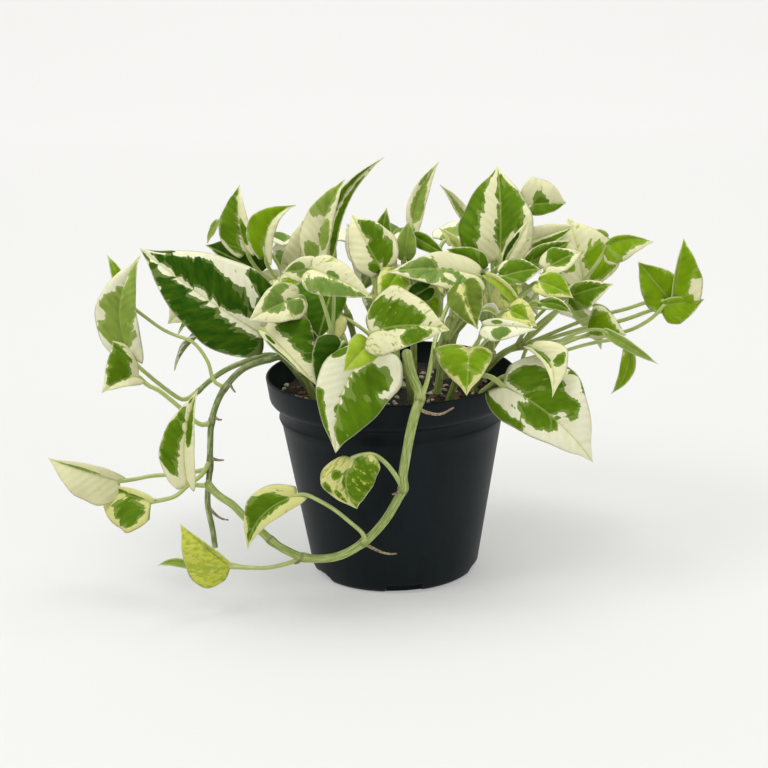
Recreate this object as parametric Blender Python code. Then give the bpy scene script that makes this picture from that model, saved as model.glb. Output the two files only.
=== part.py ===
"""A potted pothos with cream-and-green leaves: a black nursery pot, its soil, and leafy stems.

Lengths are in millimetres until a mesh is written, which is then in metres, +Z up, with the origin
at the middle of the pot's underside. The front of the plant looks along -Y.

Leaves and vines are placed as they are seen from one EYE in front of the plant: a place is
(across, up, back), a point of the upright plane through the pot's axis, carried along the line of
sight to the depth `back` behind that plane (negative is nearer the eye).
"""
import random
from collections import namedtuple
from math import cos, pi, radians, sin

import bmesh
import bpy
import numpy as np
from mathutils.bvhtree import BVHTree

MM = 0.001
GAP = 0.3

# The pot: a round nursery pot of the 6 inch size.
POT_HEIGHT = 125.0
RIM_RADIUS = 76.0
RIM_BAND = 18.5
BODY_TOP_RADIUS = 69.0
BODY_FOOT_RADIUS = 50.5
WALL = 1.6
FOOT_FILLET = 4.5
NOTCH_ANGLES = (-66.0, 6.0, 78.0, 150.0, 222.0)
NOTCH_WIDTH = 24.0
NOTCH_HEIGHT = 5.5
POT_SIDES = 36

# The soil: its top lies a finger's width under the rim.
SOIL_TOP = 113.0
SOIL_CROWN = 2.5
SOIL_FLOOR = 2.2
STEM_DEPTH = 18.0
SOIL_SIDES = 18

# The eye that the places are read from.
EYE = np.array((-4.3, -1200.0, 450.4))

# The blades: their thickness, how far the lobes reach back past the stalk as a share of the length,
# how deep the notch between them is, and how many stations a large, middle and small blade has.
BLADE = 0.8
HEART_LOBE = 0.11
LOBE_NOTCH = 0.22
WIDE_LEAF = 40.0
SMALL_LEAF = 25.0
STATIONS = (8, 6, 5)
FIRST_SHARE = 0.035
STATION_POWER = 1.15
FULL_WIDTH = 0.385

# The stalks and stems.
STALK_RINGS = 5
STALK_LEAST = 0.95
STALK_SHARE = 0.0125
STALK_TAPER = 1.3
STALK_SET_IN = 0.25
VINE_SIDES = 6
STEM_SIDES = 5
KNOT_STEPS = 16

# How a leaf finds its place: the air it keeps round itself, its steps along the line of sight, and
# how far its stalk may bow aside.
CLEARANCE = 0.45
SHIFTS = 12
SHIFT_STEP = 2.0
BOWS = (7.0, 14.0, 22.0)

POT_BLACK = (0.011, 0.014, 0.015)
SOIL_BROWN = (0.012, 0.008, 0.006)
LEAF_GREEN = (0.150, 0.260, 0.060)


def material(name, colour, roughness):
    """A Principled material with one colour and one roughness, for something that isn't metal."""
    finish = bpy.data.materials.new(name)
    finish.use_nodes = True
    shader = finish.node_tree.nodes["Principled BSDF"]
    shader.inputs["Base Color"].default_value = (*colour, 1.0)
    shader.inputs["Roughness"].default_value = roughness
    shader.inputs["Metallic"].default_value = 0.0
    return finish


def solid(name, points, faces, finish=None):
    """An object in the scene from points in millimetres and faces."""
    mesh = bpy.data.meshes.new(name)
    mesh.from_pydata((np.asarray(points) * MM).tolist(), [], faces)
    mesh.validate()
    piece = bpy.data.objects.new(name, mesh)
    bpy.context.collection.objects.link(piece)
    if finish:
        mesh.materials.append(finish)
    return piece


def outward(piece):
    """Turn all faces of a closed mesh outwards."""
    work = bmesh.new()
    work.from_mesh(piece.data)
    bmesh.ops.recalc_face_normals(work, faces=work.faces)
    work.to_mesh(piece.data)
    work.free()


def seen(across, up, back):
    """The point at depth `back` on the sight line through (across, up) of the upright plane."""
    on_plane = np.array((across, 0.0, up), float)
    return EYE + (on_plane - EYE) * (back - EYE[1]) / (0.0 - EYE[1])


def unit(vector):
    """The same direction at length one."""
    return vector / np.linalg.norm(vector)


def smooth_path(knots, count):
    """`count` points along a Catmull-Rom curve through the knots, evenly spaced by length."""
    knots = np.asarray(knots, float)
    ends = np.vstack((2 * knots[0] - knots[1], knots, 2 * knots[-1] - knots[-2]))
    dense = []
    for i in range(len(knots) - 1):
        a, b, c, d = ends[i:i + 4]
        t = np.linspace(0.0, 1.0, KNOT_STEPS, endpoint=False)[:, None]
        dense.append(0.5 * (2 * b + (c - a) * t + (2 * a - 5 * b + 4 * c - d) * t ** 2
                            + (3 * b - a - 3 * c + d) * t ** 3))
    dense = np.vstack(dense + [knots[-1:]])
    run = np.concatenate(([0.0], np.cumsum(np.linalg.norm(np.diff(dense, axis=0), axis=1))))
    want = np.linspace(0.0, run[-1], count)
    return np.stack([np.interp(want, run, dense[:, k]) for k in range(3)], axis=1)


def tube(path, radii, sides):
    """A closed tube along a path: rings square to it that turn as little as they can."""
    path = np.asarray(path, float)
    along = np.gradient(path, axis=0)
    along /= np.linalg.norm(along, axis=1)[:, None]
    aside = unit(np.cross(along[0], (0.0, 1.0, 0.0)))
    angles = np.arange(sides) * 2 * pi / sides
    points = []
    for centre, ahead, radius in zip(path, along, radii):
        aside = unit(aside - ahead * aside.dot(ahead))
        over = np.cross(ahead, aside)
        points.append(centre + radius * (np.outer(np.cos(angles), aside)
                                         + np.outer(np.sin(angles), over)))
    faces = []
    for ring in range(len(path) - 1):
        for k in range(sides):
            a = ring * sides + k
            b = ring * sides + (k + 1) % sides
            faces += [(a, b, b + sides), (a, b + sides, a + sides)]
    last = (len(path) - 1) * sides
    faces += [(0, k + 1, k) for k in range(1, sides - 1)]
    faces += [(last, last + k, last + k + 1) for k in range(1, sides - 1)]
    return np.vstack(points), faces


Leaf = namedtuple("Leaf", "name join base tip width turn fold arch stalk bend lean toward")


def leaf(name, join, base, tip, width, turn=0.0, fold=12.0, arch=0.08, stalk=(), bend=0.0, lean=0.0):
    """One row of a stem's table.

    join is the share of the stem's length where the leaf's stalk leaves it; base, tip and the
    stalk's own points, where it has any, are places as seen. The upper face looks at the eye,
    turned about the rib by turn. bend bows the rib to the leaf's right as a share of its length,
    and lean widens the right half and narrows the left by a share.
    """
    base, tip = seen(*base), seen(*tip)
    return Leaf(name, join, base, tip, width, turn, fold, arch, [seen(*place_) for place_ in stalk],
                bend, lean, EYE - (base + tip) / 2)


def leaf_axes(leaf_):
    """The directions of a leaf: ahead along its rib, out of its upper face, and to its right."""
    ahead = unit(leaf_.tip - leaf_.base)
    face = unit(leaf_.toward - ahead * ahead.dot(leaf_.toward))
    side = np.cross(ahead, face)
    angle = radians(leaf_.turn)
    return ahead, face * cos(angle) + side * sin(angle), side * cos(angle) - face * sin(angle)


def leaf_solid(leaf_, path, radii, fat=0.0):
    """One closed leaf: a four-sided stalk along a path, which ends in a heart-shaped blade.

    The half width of the blade at the share t of the way from the back of its lobes to its tip
    goes as sqrt(t) * (1 - t), which is FULL_WIDTH where it is greatest. The rib arches towards
    the upper face and bends to the side, and each half rises from it by the fold. The stalk's
    last ring is the blade's thickness, in the notch between the lobes. `fat` is added to the
    whole leaf all round.
    """
    ahead, face, side = leaf_axes(leaf_)
    base, tip, arch = leaf_.base, leaf_.tip, leaf_.arch
    length = np.linalg.norm(tip - base)
    rise = radians(leaf_.fold)
    thick = BLADE + 2 * fat
    stations = STATIONS[(leaf_.width <= WIDE_LEAF) + (leaf_.width <= SMALL_LEAF)]
    step = np.linspace(0.0, 1.0, stations + 1)[:-1] ** STATION_POWER
    t = FIRST_SHARE + (1 - FIRST_SHARE) * step
    half = leaf_.width / 2 * np.sqrt(t) * (1 - t) / FULL_WIDTH
    edge = -HEART_LOBE + (1 + HEART_LOBE) * t
    points = []
    for level in (0.5, -0.5):
        for share, reach, spread in zip(step, edge, half):
            for hand in (-1.0, 0.0, 1.0):
                x = share if hand == 0.0 else reach
                normal = face if hand == 0.0 else unit(face * cos(rise) - side * hand * sin(rise))
                reach_out = spread * (1 + leaf_.lean * hand)
                bow = 4 * length * x * (1 - x)
                place_ = base + ahead * x * length + (face * arch + side * leaf_.bend) * bow
                place_ = place_ + (side * hand * cos(rise) + face * abs(hand) * sin(rise)) * reach_out
                points.append(place_ + normal * level * thick)
        points.append(tip + face * level * thick)
    below = len(points) // 2
    top = []
    for row in range(stations - 1):
        a = 3 * row
        top += [(a, a + 1, a + 3), (a + 1, a + 4, a + 3)]
        top += [(a + 1, a + 2, a + 5), (a + 1, a + 5, a + 4)]
    end = 3 * (stations - 1)
    top += [(end, end + 1, end + 3), (end + 1, end + 2, end + 3)]
    faces = [tuple(reversed(corners)) for corners in top]
    faces += [tuple(k + below for k in corners) for corners in top]
    left = [3 * row for row in range(stations)] + [below - 1]
    right = [3 * row + 2 for row in range(stations)] + [below - 1]
    for a, b in list(zip(left, left[1:])) + list(zip(right[1:], right)):
        faces += [(a, b, b + below), (a, b + below, a + below)]
    for hand in (0, 2):
        lobe = (points[hand] + points[hand + below]) / 2
        points.append(base + (lobe - base) * LOBE_NOTCH)
    in_left, in_right = 2 * below, 2 * below + 1
    faces += [(1, in_left, 0), (0, in_left, below), (below, in_left, 1 + below)]
    faces += [(2, in_right, 1), (2 + below, in_right, 2), (1 + below, in_right, 2 + below)]
    ring = (1, in_left, 1 + below, in_right)
    along = np.gradient(path, axis=0)
    up = face
    for centre, way, radius in reversed(list(zip(path, along, radii))[:-1]):
        way = unit(way)
        up = unit(up - way * way.dot(up))
        aside = np.cross(up, way)
        first = len(points)
        for a in range(4):
            points.append(centre + (radius + fat) * (cos(a * pi / 2) * up + sin(a * pi / 2) * aside))
        for k in range(4):
            m = (k + 1) % 4
            faces += [(ring[k], first + k, first + m), (ring[k], first + m, ring[m])]
        ring = (first, first + 1, first + 2, first + 3)
    faces += [(ring[0], ring[1], ring[2]), (ring[0], ring[2], ring[3])]
    return np.array(points), faces


# Each stem: where it stands in the soil (x, y), the points that it goes through, its radius at
# the foot and at its end, and its leaves. Crown stems are short and stand up from the soil.
STEMS = {
    "vine_hanging": dict(
        foot=(-48.0, -16.0), radius=(2.1, 1.7), knots=[
            (-64, 134, -20), (-74, 134, -26), (-85, 131, -30), (-92, 127, -32), (-99, 120, -34),
            (-105, 111, -36), (-109, 101, -38), (-111, 92, -39), (-112, 80, -40), (-113, 65, -41),
            (-115, 49, -42), (-115, 39, -43), (-113, 26, -44), (-112, 14, -45)],
        leaves=[
            leaf("far_left_low", 0.90, (-150, 45, -46), (-180, 57, -14), 27, -10, 14, 0.06,
                 [(-113, 70, -42), (-118, 62, -44), (-127, 55, -45), (-136, 48, -46)], lean=-0.65),
            leaf("far_left_cream", 0.72, (-169, 59, -28), (-212, 75, -30), 24, -12, 14, 0.08,
                 [(-112, 66, -41), (-128, 63, -36), (-148, 62, -31), (-160, 60, -28)], lean=-0.50),
            leaf("left_low", 0.55, (-153, 125, -35), (-176, 116, -60), 30, 8, 14, 0.12,
                 [(-110, 96, -39), (-115, 94, -40), (-120, 96, -40), (-130, 106, -38),
                  (-141, 116, -36), (-148, 120, -35)], bend=0.06, lean=0.60),
            leaf("left_behind", 0.40, (-156, 170, -16), (-168, 202, -8), 10, 10, 12, 0.08,
                 [(-101, 117, -35), (-108, 122, -33), (-111, 134, -28), (-119, 146, -22),
                  (-130, 151, -18), (-139, 156, -16)])]),
    "vine_left": dict(
        foot=(-50.0, 2.0), radius=(2.0, 1.5), knots=[
            (-62, 133, 0), (-74, 137, -3), (-86, 134, -8), (-99, 129, -12), (-110, 122, -16),
            (-118, 115, -20)],
        leaves=[
            leaf("left_upright", 1.0, (-158, 139, -30), (-148, 201, -14), 27, -8, 14, 0.06,
                 [(-118, 115, -20), (-124, 111, -22), (-129, 111, -23), (-137, 117, -25),
                  (-146, 125, -28), (-154, 133, -30)], bend=-0.14, lean=-0.14)]),
    "vine_front": dict(
        foot=(13.0, -50.0), radius=(3.1, 2.2), knots=[
            (10, 135, -66), (13, 122, -73), (17, 111, -80), (17, 106, -83), (14, 97, -86),
            (11, 85, -87), (8, 70, -86), (6, 58, -85), (6, 50, -84), (2, 42, -83), (-6, 29, -81),
            (-17, 17, -79), (-31, 8, -78), (-44, 5, -78), (-57, 6, -78), (-66, 10, -77),
            (-75, 16, -76), (-84, 25, -74), (-93, 34, -71), (-100, 42, -69), (-108, 48, -67),
            (-116, 57, -66)],
        leaves=[
            leaf("low_mottled", 0.62, (-103, 1, -76), (-133, 30, -80), 23, -10, 14, 0.08,
                 [(-57, 6, -78), (-65, 3, -78), (-78, 0, -77), (-90, 0, -76)], lean=-0.75),
            leaf("low_young", 0.62, (-127, 2, -68), (-149, 3, -62), 6, 0, 20, 0.04,
                 [(-92, 0, -76), (-100, 2, -71), (-109, 4, -69)], bend=0.10),
            leaf("front_marbled", 0.30, (-25, 70, -92), (-23, 37, -96), 34, 4, 8, 0.10,
                 [(6, 50, -84), (1, 59, -87), (-5, 67, -90), (-12, 72, -92), (-19, 72, -92)],
                 bend=0.16, lean=-0.10),
            leaf("front_drooping", 0.48, (-60, 47, -88), (-92, 12, -86), 21, 10, 14, 0.10,
                 [(-18, 14, -79), (-20, 21, -83), (-28, 29, -86), (-37, 37, -88), (-46, 43, -89),
                  (-54, 47, -88)], bend=0.14, lean=0.25),
            leaf("hanging_olive", 0.11, (45, 178, -44), (53, 150, -62), 24, 15, 16, 0.08,
                 [(18, 107, -83), (22, 118, -81), (25, 132, -72), (28, 146, -56), (36, 166, -46)]),
            leaf("left_folded", 1.0, (-127, 56, -68), (-118, 116, -60), 22, -12, 18, 0.05,
                 [(-114, 55, -66), (-119, 55, -68)], bend=-0.07, lean=-0.35)]),
    "stem_left_back": dict(
        foot=(-38.0, 14.0), top=(-52.0, 18.0, 150.0), radius=(2.4, 1.7), leaves=[
            leaf("upright_pair_left", 1.0, (-84, 201, 6), (-87, 242, 22), 20, -12, 16, 0.06,
                 bend=-0.06, lean=-0.33),
            leaf("upright_pair_right", 0.9, (-73, 197, 2), (-54, 229, 14), 19, -10, 14, 0.10,
                 bend=-0.20, lean=-0.40),
            leaf("dark_behind", 0.8, (-77, 188, 14), (-109, 206, 22), 21, 10, 10, 0.06, lean=0.50),
            leaf("inner_far_left", 0.5, (-66, 184, 6), (-56, 160, -14), 25, 10, 10, 0.10),
            leaf("edge_left", 0.7, (-101, 220, 26), (-108, 207, 28), 6, 40, 10, 0.05)]),
    "stem_left": dict(
        foot=(-46.0, -28.0), top=(-56.0, -34.0, 138.0), radius=(2.6, 1.8), leaves=[
            leaf("large_left", 1.0, (-77, 150, -46), (-148, 205, -40), 53, 8, 8, 0.06,
                 bend=-0.03, lean=0.13),
            leaf("behind_large", 0.8, (-108, 182, -14), (-134, 158, -16), 26, 0, 10, 0.05),
            leaf("pale_rim", 0.9, (-54, 173, -50), (-85, 159, -64), 25, 15, 10, 0.08, lean=-0.05),
            leaf("low_lying_left", 0.6, (-76, 153, -56), (-46, 118, -80), 27, -8, 10, 0.08, lean=-0.65)]),
    "stem_left_front": dict(
        foot=(-30.0, -40.0), top=(-36.0, -46.0, 142.0), radius=(2.4, 1.7), leaves=[
            leaf("white_end", 0.9, (-42, 190, -50), (-64, 188, -46), 16, 0, 10, 0.06),
            leaf("lying_yellow", 1.0, (-46, 190, -44), (-10, 171, -68), 25, -12, 12, 0.10, lean=0.12),
            leaf("mid_green", 0.8, (-34, 178, -38), (-44, 145, -58), 32, 0, 10, 0.08, lean=0.35),
            leaf("dark_left", 0.6, (-69, 152, -46), (-38, 139, -56), 15, -10, 10, 0.06, lean=-0.50),
            leaf("dark_front", 0.5, (-29, 143, -62), (-46, 118, -76), 24, 0, 10, 0.08, lean=0.15)]),
    "stem_back_left": dict(
        foot=(-18.0, 18.0), top=(-26.0, 16.0, 160.0), radius=(2.4, 1.7), leaves=[
            leaf("tall_curved", 1.0, (-37, 194, 0), (0, 256, 14), 13, 25, 22, -0.08, bend=-0.13),
            leaf("tall_upright", 0.9, (-42, 194, -12), (-24, 244, 2), 19, 0, 14, 0.06,
                 bend=-0.08, lean=-0.35),
            leaf("cream_upright", 0.8, (-55, 181, 2), (-50, 220, 14), 15, 8, 12, 0.06, lean=-0.60)]),
    "stem_centre": dict(
        foot=(-4.0, -10.0), top=(-4.0, -16.0, 156.0), radius=(2.5, 1.7), leaves=[
            leaf("centre_upright", 1.0, (-4, 189, -26), (-21, 222, -8), 30, -8, 12, 0.08, lean=0.12),
            leaf("centre_behind", 0.9, (-12, 193, -6), (-24, 217, 0), 20, 12, 10, 0.06),
            leaf("centre_tip", 0.8, (-7, 195, 2), (0, 226, 6), 14, 0, 10, 0.06),
            leaf("inner_left", 0.5, (-32, 160, 12), (-35, 141, -4), 14, -5, 10, 0.08),
            leaf("yellow_green", 0.7, (6, 186, -28), (-6, 166, -46), 19, 10, 14, 0.10)]),
    "stem_front": dict(
        foot=(-10.0, -44.0), top=(-10.0, -54.0, 136.0), radius=(2.6, 1.8), leaves=[
            leaf("front_large", 0.8, (-14, 137, -70), (-35, 74, -98), 46, 0, 8, 0.09,
                 bend=0.11, lean=-0.25),
            leaf("small_yellow", 0.9, (-13, 143, -78), (-29, 125, -98), 19, 0, 12, 0.10),
            leaf("marbled_front", 1.0, (-12, 149, -60), (36, 150, -76), 39, -16, 8, 0.10,
                 bend=-0.05, lean=-0.18)]),
    "stem_centre_back": dict(
        foot=(14.0, 22.0), top=(16.0, 20.0, 160.0), radius=(2.3, 1.6), leaves=[
            leaf("slim_upright", 1.0, (15, 213, 8), (32, 253, 20), 12, 12, 18, -0.03, bend=-0.08),
            leaf("centre_small", 0.8, (10, 195, -6), (13, 218, -2), 13, 0, 12, 0.05),
            leaf("olive", 0.9, (16, 208, 2), (35, 196, -6), 10, 0, 10, 0.06),
            leaf("inner_middle", 0.6, (6, 178, 34), (-6, 152, 18), 30, 0, 10, 0.10),
            leaf("inner_right", 0.5, (18, 178, 8), (26, 148, -8), 30, 8, 10, 0.10),
            leaf("thin_curl", 0.7, (51, 210, 20), (32, 239, 22), 9, 20, 18, -0.06, bend=0.07)]),
    "stem_middle": dict(
        foot=(28.0, -14.0), top=(34.0, -20.0, 150.0), radius=(2.4, 1.7), leaves=[
            leaf("lying_centre", 1.0, (54, 183, -30), (0, 187, -48), 28, 30, 8, 0.10, lean=-0.15),
            leaf("bright_small", 0.9, (56, 186, -20), (35, 200, -14), 15, 0, 12, 0.06, lean=0.35),
            leaf("dark_small", 0.8, (25, 177, -32), (8, 168, -36), 14, 0, 10, 0.05)]),
    "stem_right_back": dict(
        foot=(34.0, 20.0), top=(46.0, 20.0, 160.0), radius=(2.6, 1.8), leaves=[
            leaf("big_upright", 1.0, (67, 193, -4), (66, 249, 20), 46, 0, 12, 0.08, bend=0.02, lean=-0.12),
            leaf("right_behind", 0.9, (82, 225, 16), (107, 226, 30), 24, -12, 12, 0.08, lean=-0.38),
            leaf("dark_sliver", 0.8, (71, 192, -14), (85, 217, -8), 10, 15, 12, 0.05),
            leaf("inner_far_right", 0.5, (62, 178, 2), (80, 160, -10), 28, -15, 10, 0.10),
            leaf("pale_tip", 0.7, (44, 199, 12), (31, 213, 16), 7, 20, 12, 0.05)]),
    "stem_front_right": dict(
        foot=(34.0, -40.0), top=(42.0, -48.0, 134.0), radius=(2.5, 1.7), leaves=[
            leaf("drooping_front", 0.9, (48, 138, -58), (46, 109, -90), 35, 0, 12, 0.12, lean=0.20),
            leaf("large_low_right", 0.6, (68, 114, -60), (123, 64, -84), 49, -6, 8, 0.08,
                 [(44, 117, -48), (50, 121, -52), (56, 121, -57), (62, 119, -60)], bend=-0.06, lean=-0.22),
            leaf("white_pointed", 1.0, (57, 152, -62), (89, 149, -76), 14, -15, 12, 0.08, lean=0.40),
            leaf("cream_round", 0.8, (72, 161, -50), (89, 151, -62), 19, -20, 12, 0.10),
            leaf("curled_white", 0.7, (67, 156, -44), (52, 159, -50), 7, 20, 20, 0.10, bend=0.30)]),
    "stem_right": dict(
        foot=(50.0, -10.0), top=(62.0, -14.0, 140.0), radius=(2.5, 1.7), leaves=[
            leaf("dark_right", 0.9, (68, 182, -26), (92, 186, -22), 19, -30, 12, 0.08),
            leaf("cream_right", 0.8, (90, 178, -28), (111, 168, -40), 19, -28, 12, 0.10),
            leaf("curved_folded", 1.0, (60, 183, -44), (82, 154, -50), 8, 15, 24, 0.10, bend=-0.13),
            leaf("hooked", 0.7, (91, 165, -42), (111, 157, -46), 8, 0, 14, 0.08, bend=-0.14)]),
    "stem_right_high": dict(
        foot=(44.0, 4.0), top=(66.0, 4.0, 146.0), radius=(2.5, 1.7), leaves=[
            leaf("long_cream", 1.0, (80, 202, 4), (112, 212, 12), 15, 0, 14, 0.06),
            leaf("long_green", 0.9, (84, 190, -6), (110, 203, 0), 14, 0, 14, 0.06),
            leaf("oval_rim", 0.8, (94, 186, -14), (116, 196, -6), 19, -30, 12, 0.08),
            leaf("dark_margin", 0.7, (109, 169, -20), (135, 176, -34), 18, -10, 10, 0.08, lean=0.25)]),
    "stem_right_fan": dict(
        foot=(54.0, 12.0), top=(84.0, 10.0, 138.0), radius=(2.6, 1.8), leaves=[
            leaf("folded_high", 1.0, (117, 178, -4), (108, 217, 12), 43, 25, 18, 0.06, lean=0.12),
            leaf("arched_right", 0.9, (131, 199, 10), (159, 201, -4), 18, -8, 14, 0.14,
                 bend=-0.08, lean=0.60),
            leaf("small_high", 0.8, (131, 204, 18), (117, 207, 20), 9, 20, 12, 0.06),
            leaf("far_right", 1.0, (172, 163, -15), (177, 203, -12), 19, -6, 14, 0.08,
                 [(83, 140, 10), (118, 154, 3), (142, 160, -3), (160, 165, -11)], lean=0.75),
            leaf("far_right_low", 0.9, (166, 162, -14), (190, 165, -22), 17, 0, 12, 0.08,
                 [(82, 138, 10), (120, 144, -2), (142, 146, -8), (157, 153, -12)], lean=0.50),
            leaf("far_right_inner", 0.8, (171, 163, -10), (150, 189, -10), 26, 0, 12, 0.06,
                 [(83, 139, 10), (118, 149, 0), (140, 153, -4), (158, 159, -8)])]),
    "stem_right_low": dict(
        foot=(54.0, -26.0), top=(80.0, -34.0, 130.0), radius=(2.4, 1.6), leaves=[
            leaf("cream_hanging", 0.9, (85, 138, -58), (98, 106, -84), 17, -5, 12, 0.08,
                 bend=-0.18, lean=-0.50),
            leaf("bright_right", 1.0, (121, 145, -20), (143, 144, -34), 20, -8, 12, 0.08, lean=-0.70),
            leaf("slim_right", 1.0, (131, 146, -30), (163, 125, -32), 7, 0, 16, 0.04),
            leaf("small_hanging", 0.8, (145, 135, -18), (134, 107, -20), 10, 0, 14, 0.04, bend=-0.12)]),
}

# The stems at the back, which the front hides: where each stands, where its top leans, and which
# way it heads, in degrees from +X towards +Y.
BACK_STEMS = {
    "stem_back_far_left": ((-46.0, 28.0), (-70.0, 50.0, 146.0), 152.0),
    "stem_back_middle_left": ((-24.0, 46.0), (-38.0, 70.0, 148.0), 121.0),
    "stem_back_middle": ((4.0, 52.0), (4.0, 78.0, 150.0), 90.0),
    "stem_back_right": ((28.0, 46.0), (44.0, 68.0, 148.0), 59.0),
    "stem_back_far_right": ((48.0, 34.0), (80.0, 46.0, 146.0), 28.0),
}
BACK_SEED = 11

# One fan of back leaves: across the stem's heading in degrees, how far out and up the blade's base
# lies from the stem's top, and how steeply the blade dips.
BACK_FAN = (
    (-21.0, 34.0, 12.0, -0.75),
    (0.0, 22.0, 34.0, -0.50),
    (20.0, 32.0, 16.0, -0.70),
    (-10.0, -12.0, 46.0, -0.10),
    (9.0, 40.0, -4.0, -0.95),
)
BACK_LENGTH = (42.0, 54.0)


def back_leaves(top, heading):
    """A fan of leaves about a back stem's heading, with small seeded differences."""
    draw = random.Random(BACK_SEED + int(heading))
    rows = []
    for k, (across, reach, lift, dip) in enumerate(BACK_FAN):
        way = radians(heading + across + draw.uniform(-3, 3))
        out = np.array((cos(way), sin(way), 0.0))
        base = np.array(top) + out * reach + np.array((0.0, 0.0, lift + draw.uniform(-4, 4)))
        length = draw.uniform(*BACK_LENGTH)
        tip = base + unit(out + np.array((0.0, 0.0, dip))) * length
        rows.append(Leaf(f"back_{k}", 0.6 + 0.08 * k, base, tip, length * 0.66,
                         draw.uniform(-20, 20), 10.0, 0.10, [], 0.0, 0.0,
                         out + np.array((0.0, 0.0, 1.3))))
    return rows


def stem_path(stem):
    """The stem's centre line: upright in the soil, then out through its knots or up to its top."""
    x, y = stem["foot"]
    buried = [(x, y, SOIL_TOP - STEM_DEPTH), (x, y, SOIL_TOP - STEM_DEPTH / 2), (x, y, SOIL_TOP + 4)]
    if "knots" in stem:
        above = [seen(*knot) for knot in stem["knots"]]
        count = 5 * len(above) // 4 + 4
    else:
        end = np.array(stem["top"])
        above = [(np.array(buried[-1]) + end) / 2 + np.array((0, 0, 4.0)), end]
        count = 5
    path = smooth_path([buried[-1]] + above, count)
    return np.vstack((buried[:2], path))


def stalk_path(leaf_, start, bow):
    """The petiole: from the stem, up and out, to the blade's base from its underside."""
    if leaf_.stalk:
        return smooth_path(leaf_.stalk + [leaf_.base], STALK_RINGS)
    ahead, face, _ = leaf_axes(leaf_)
    length = np.linalg.norm(leaf_.base - start)
    out = unit(unit(leaf_.base - start) + np.array((0.0, 0.0, 1.0)))
    first = start + out * length * 0.35 + bow
    second = leaf_.base - unit(ahead * 0.7 + face * 0.6) * length * 0.28 + bow * 0.6
    t = np.linspace(0.0, 1.0, STALK_RINGS)[:, None]
    return ((1 - t) ** 3 * start + 3 * (1 - t) ** 2 * t * first
            + 3 * (1 - t) * t ** 2 * second + t ** 3 * leaf_.base)


# What already has its place: a name, the box and the search tree of each piece.
Placed = namedtuple("Placed", "owner low high tree")
placed = []


def place(owner, points, faces):
    """Note a piece as one that later pieces have to keep clear of."""
    tree = BVHTree.FromPolygons(points.tolist(), faces)
    placed.append(Placed(owner, points.min(axis=0), points.max(axis=0), tree))


def is_clear(points, faces, skip=()):
    """True where a piece crosses nothing that already has its place."""
    low, high = points.min(axis=0), points.max(axis=0)
    tree = None
    for other in placed:
        if other.owner in skip or np.any(other.low > high) or np.any(other.high < low):
            continue
        tree = tree or BVHTree.FromPolygons(points.tolist(), faces)
        if tree.overlap(other.tree):
            return False
    return True


def settle(stem_name, leaf_, start):
    """Bend a leaf clear: step it along the line of sight, and bow its stalk, until it is free.

    A leaf with its own stalk points stays. One that finds no free place among the tries stays
    where its row puts it, and fuses with what it meets of its own stem.
    """
    shifts = [0.0]
    for k in range(1, SHIFTS + 1):
        shifts += [SHIFT_STEP * k, -SHIFT_STEP * k]
    bows = [np.zeros(3)]
    for size in BOWS:
        for k in range(6):
            bows.append(size * np.array((cos(k * pi / 3), sin(k * pi / 3), 0.25 * (-1) ** k)))
    radius = STALK_LEAST + leaf_.width * STALK_SHARE
    radii = np.linspace(radius * STALK_TAPER, radius, STALK_RINGS)
    if leaf_.stalk:
        shifts, bows = [0.0], [np.zeros(3)]
    for shift in shifts:
        moved = leaf_._replace(base=leaf_.base + (leaf_.base - EYE) * shift / (leaf_.base - EYE)[1],
                               tip=leaf_.tip + (leaf_.tip - EYE) * shift / (leaf_.tip - EYE)[1])
        for bow in bows:
            path = stalk_path(moved, start, bow)
            away = leaf_solid(moved, path[1:], radii[1:], CLEARANCE)
            whole = leaf_solid(moved, path, radii, CLEARANCE)
            if is_clear(*away) and is_clear(*whole, skip=(stem_name, stem_name + " leaf")):
                return leaf_solid(moved, path, radii)
    return leaf_solid(leaf_, stalk_path(leaf_, start, bows[0]), radii)


def pot_profile():
    """The pot's outline (radius, height), from the middle of its underside, round and back in."""
    fillet = [(BODY_FOOT_RADIUS - FOOT_FILLET + FOOT_FILLET * sin(a), FOOT_FILLET - FOOT_FILLET * cos(a))
              for a in np.linspace(0.0, radians(80), 4)]
    crease = POT_HEIGHT - RIM_BAND
    slope = (BODY_TOP_RADIUS - BODY_FOOT_RADIUS) / crease
    outer = fillet + [(BODY_TOP_RADIUS, crease - 0.8), (BODY_TOP_RADIUS + 1.2, crease),
                      (RIM_RADIUS - 2.2, crease + 4.2), (RIM_RADIUS - 1.4, crease + 6.5),
                      (RIM_RADIUS - 0.2, POT_HEIGHT - 0.8), (RIM_RADIUS - 0.6, POT_HEIGHT)]
    inner = [(RIM_RADIUS - WALL, POT_HEIGHT), (RIM_RADIUS - WALL - 1.4, crease + 6.5),
             (BODY_TOP_RADIUS - WALL, crease), (BODY_FOOT_RADIUS - WALL + slope * WALL, FOOT_FILLET),
             (BODY_FOOT_RADIUS - FOOT_FILLET, SOIL_FLOOR - GAP)]
    return outer, inner


def turned(profile, sides):
    """A closed turned solid from a profile that starts and ends on the axis."""
    rings = profile[1:-1]
    angles = np.arange(sides) * 2 * pi / sides
    points = [(0.0, 0.0, profile[0][1])]
    for radius, height in rings:
        points += [(radius * cos(a), radius * sin(a), height) for a in angles]
    points.append((0.0, 0.0, profile[-1][1]))
    end = len(points) - 1
    faces = []
    for k in range(sides):
        after = (k + 1) % sides
        faces.append((0, 1 + after, 1 + k))
        for ring in range(len(rings) - 1):
            a = 1 + ring * sides
            faces.append((a + k, a + after, a + sides + after, a + sides + k))
        a = 1 + (len(rings) - 1) * sides
        faces.append((a + k, a + after, end))
    return np.array(points), faces


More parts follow.
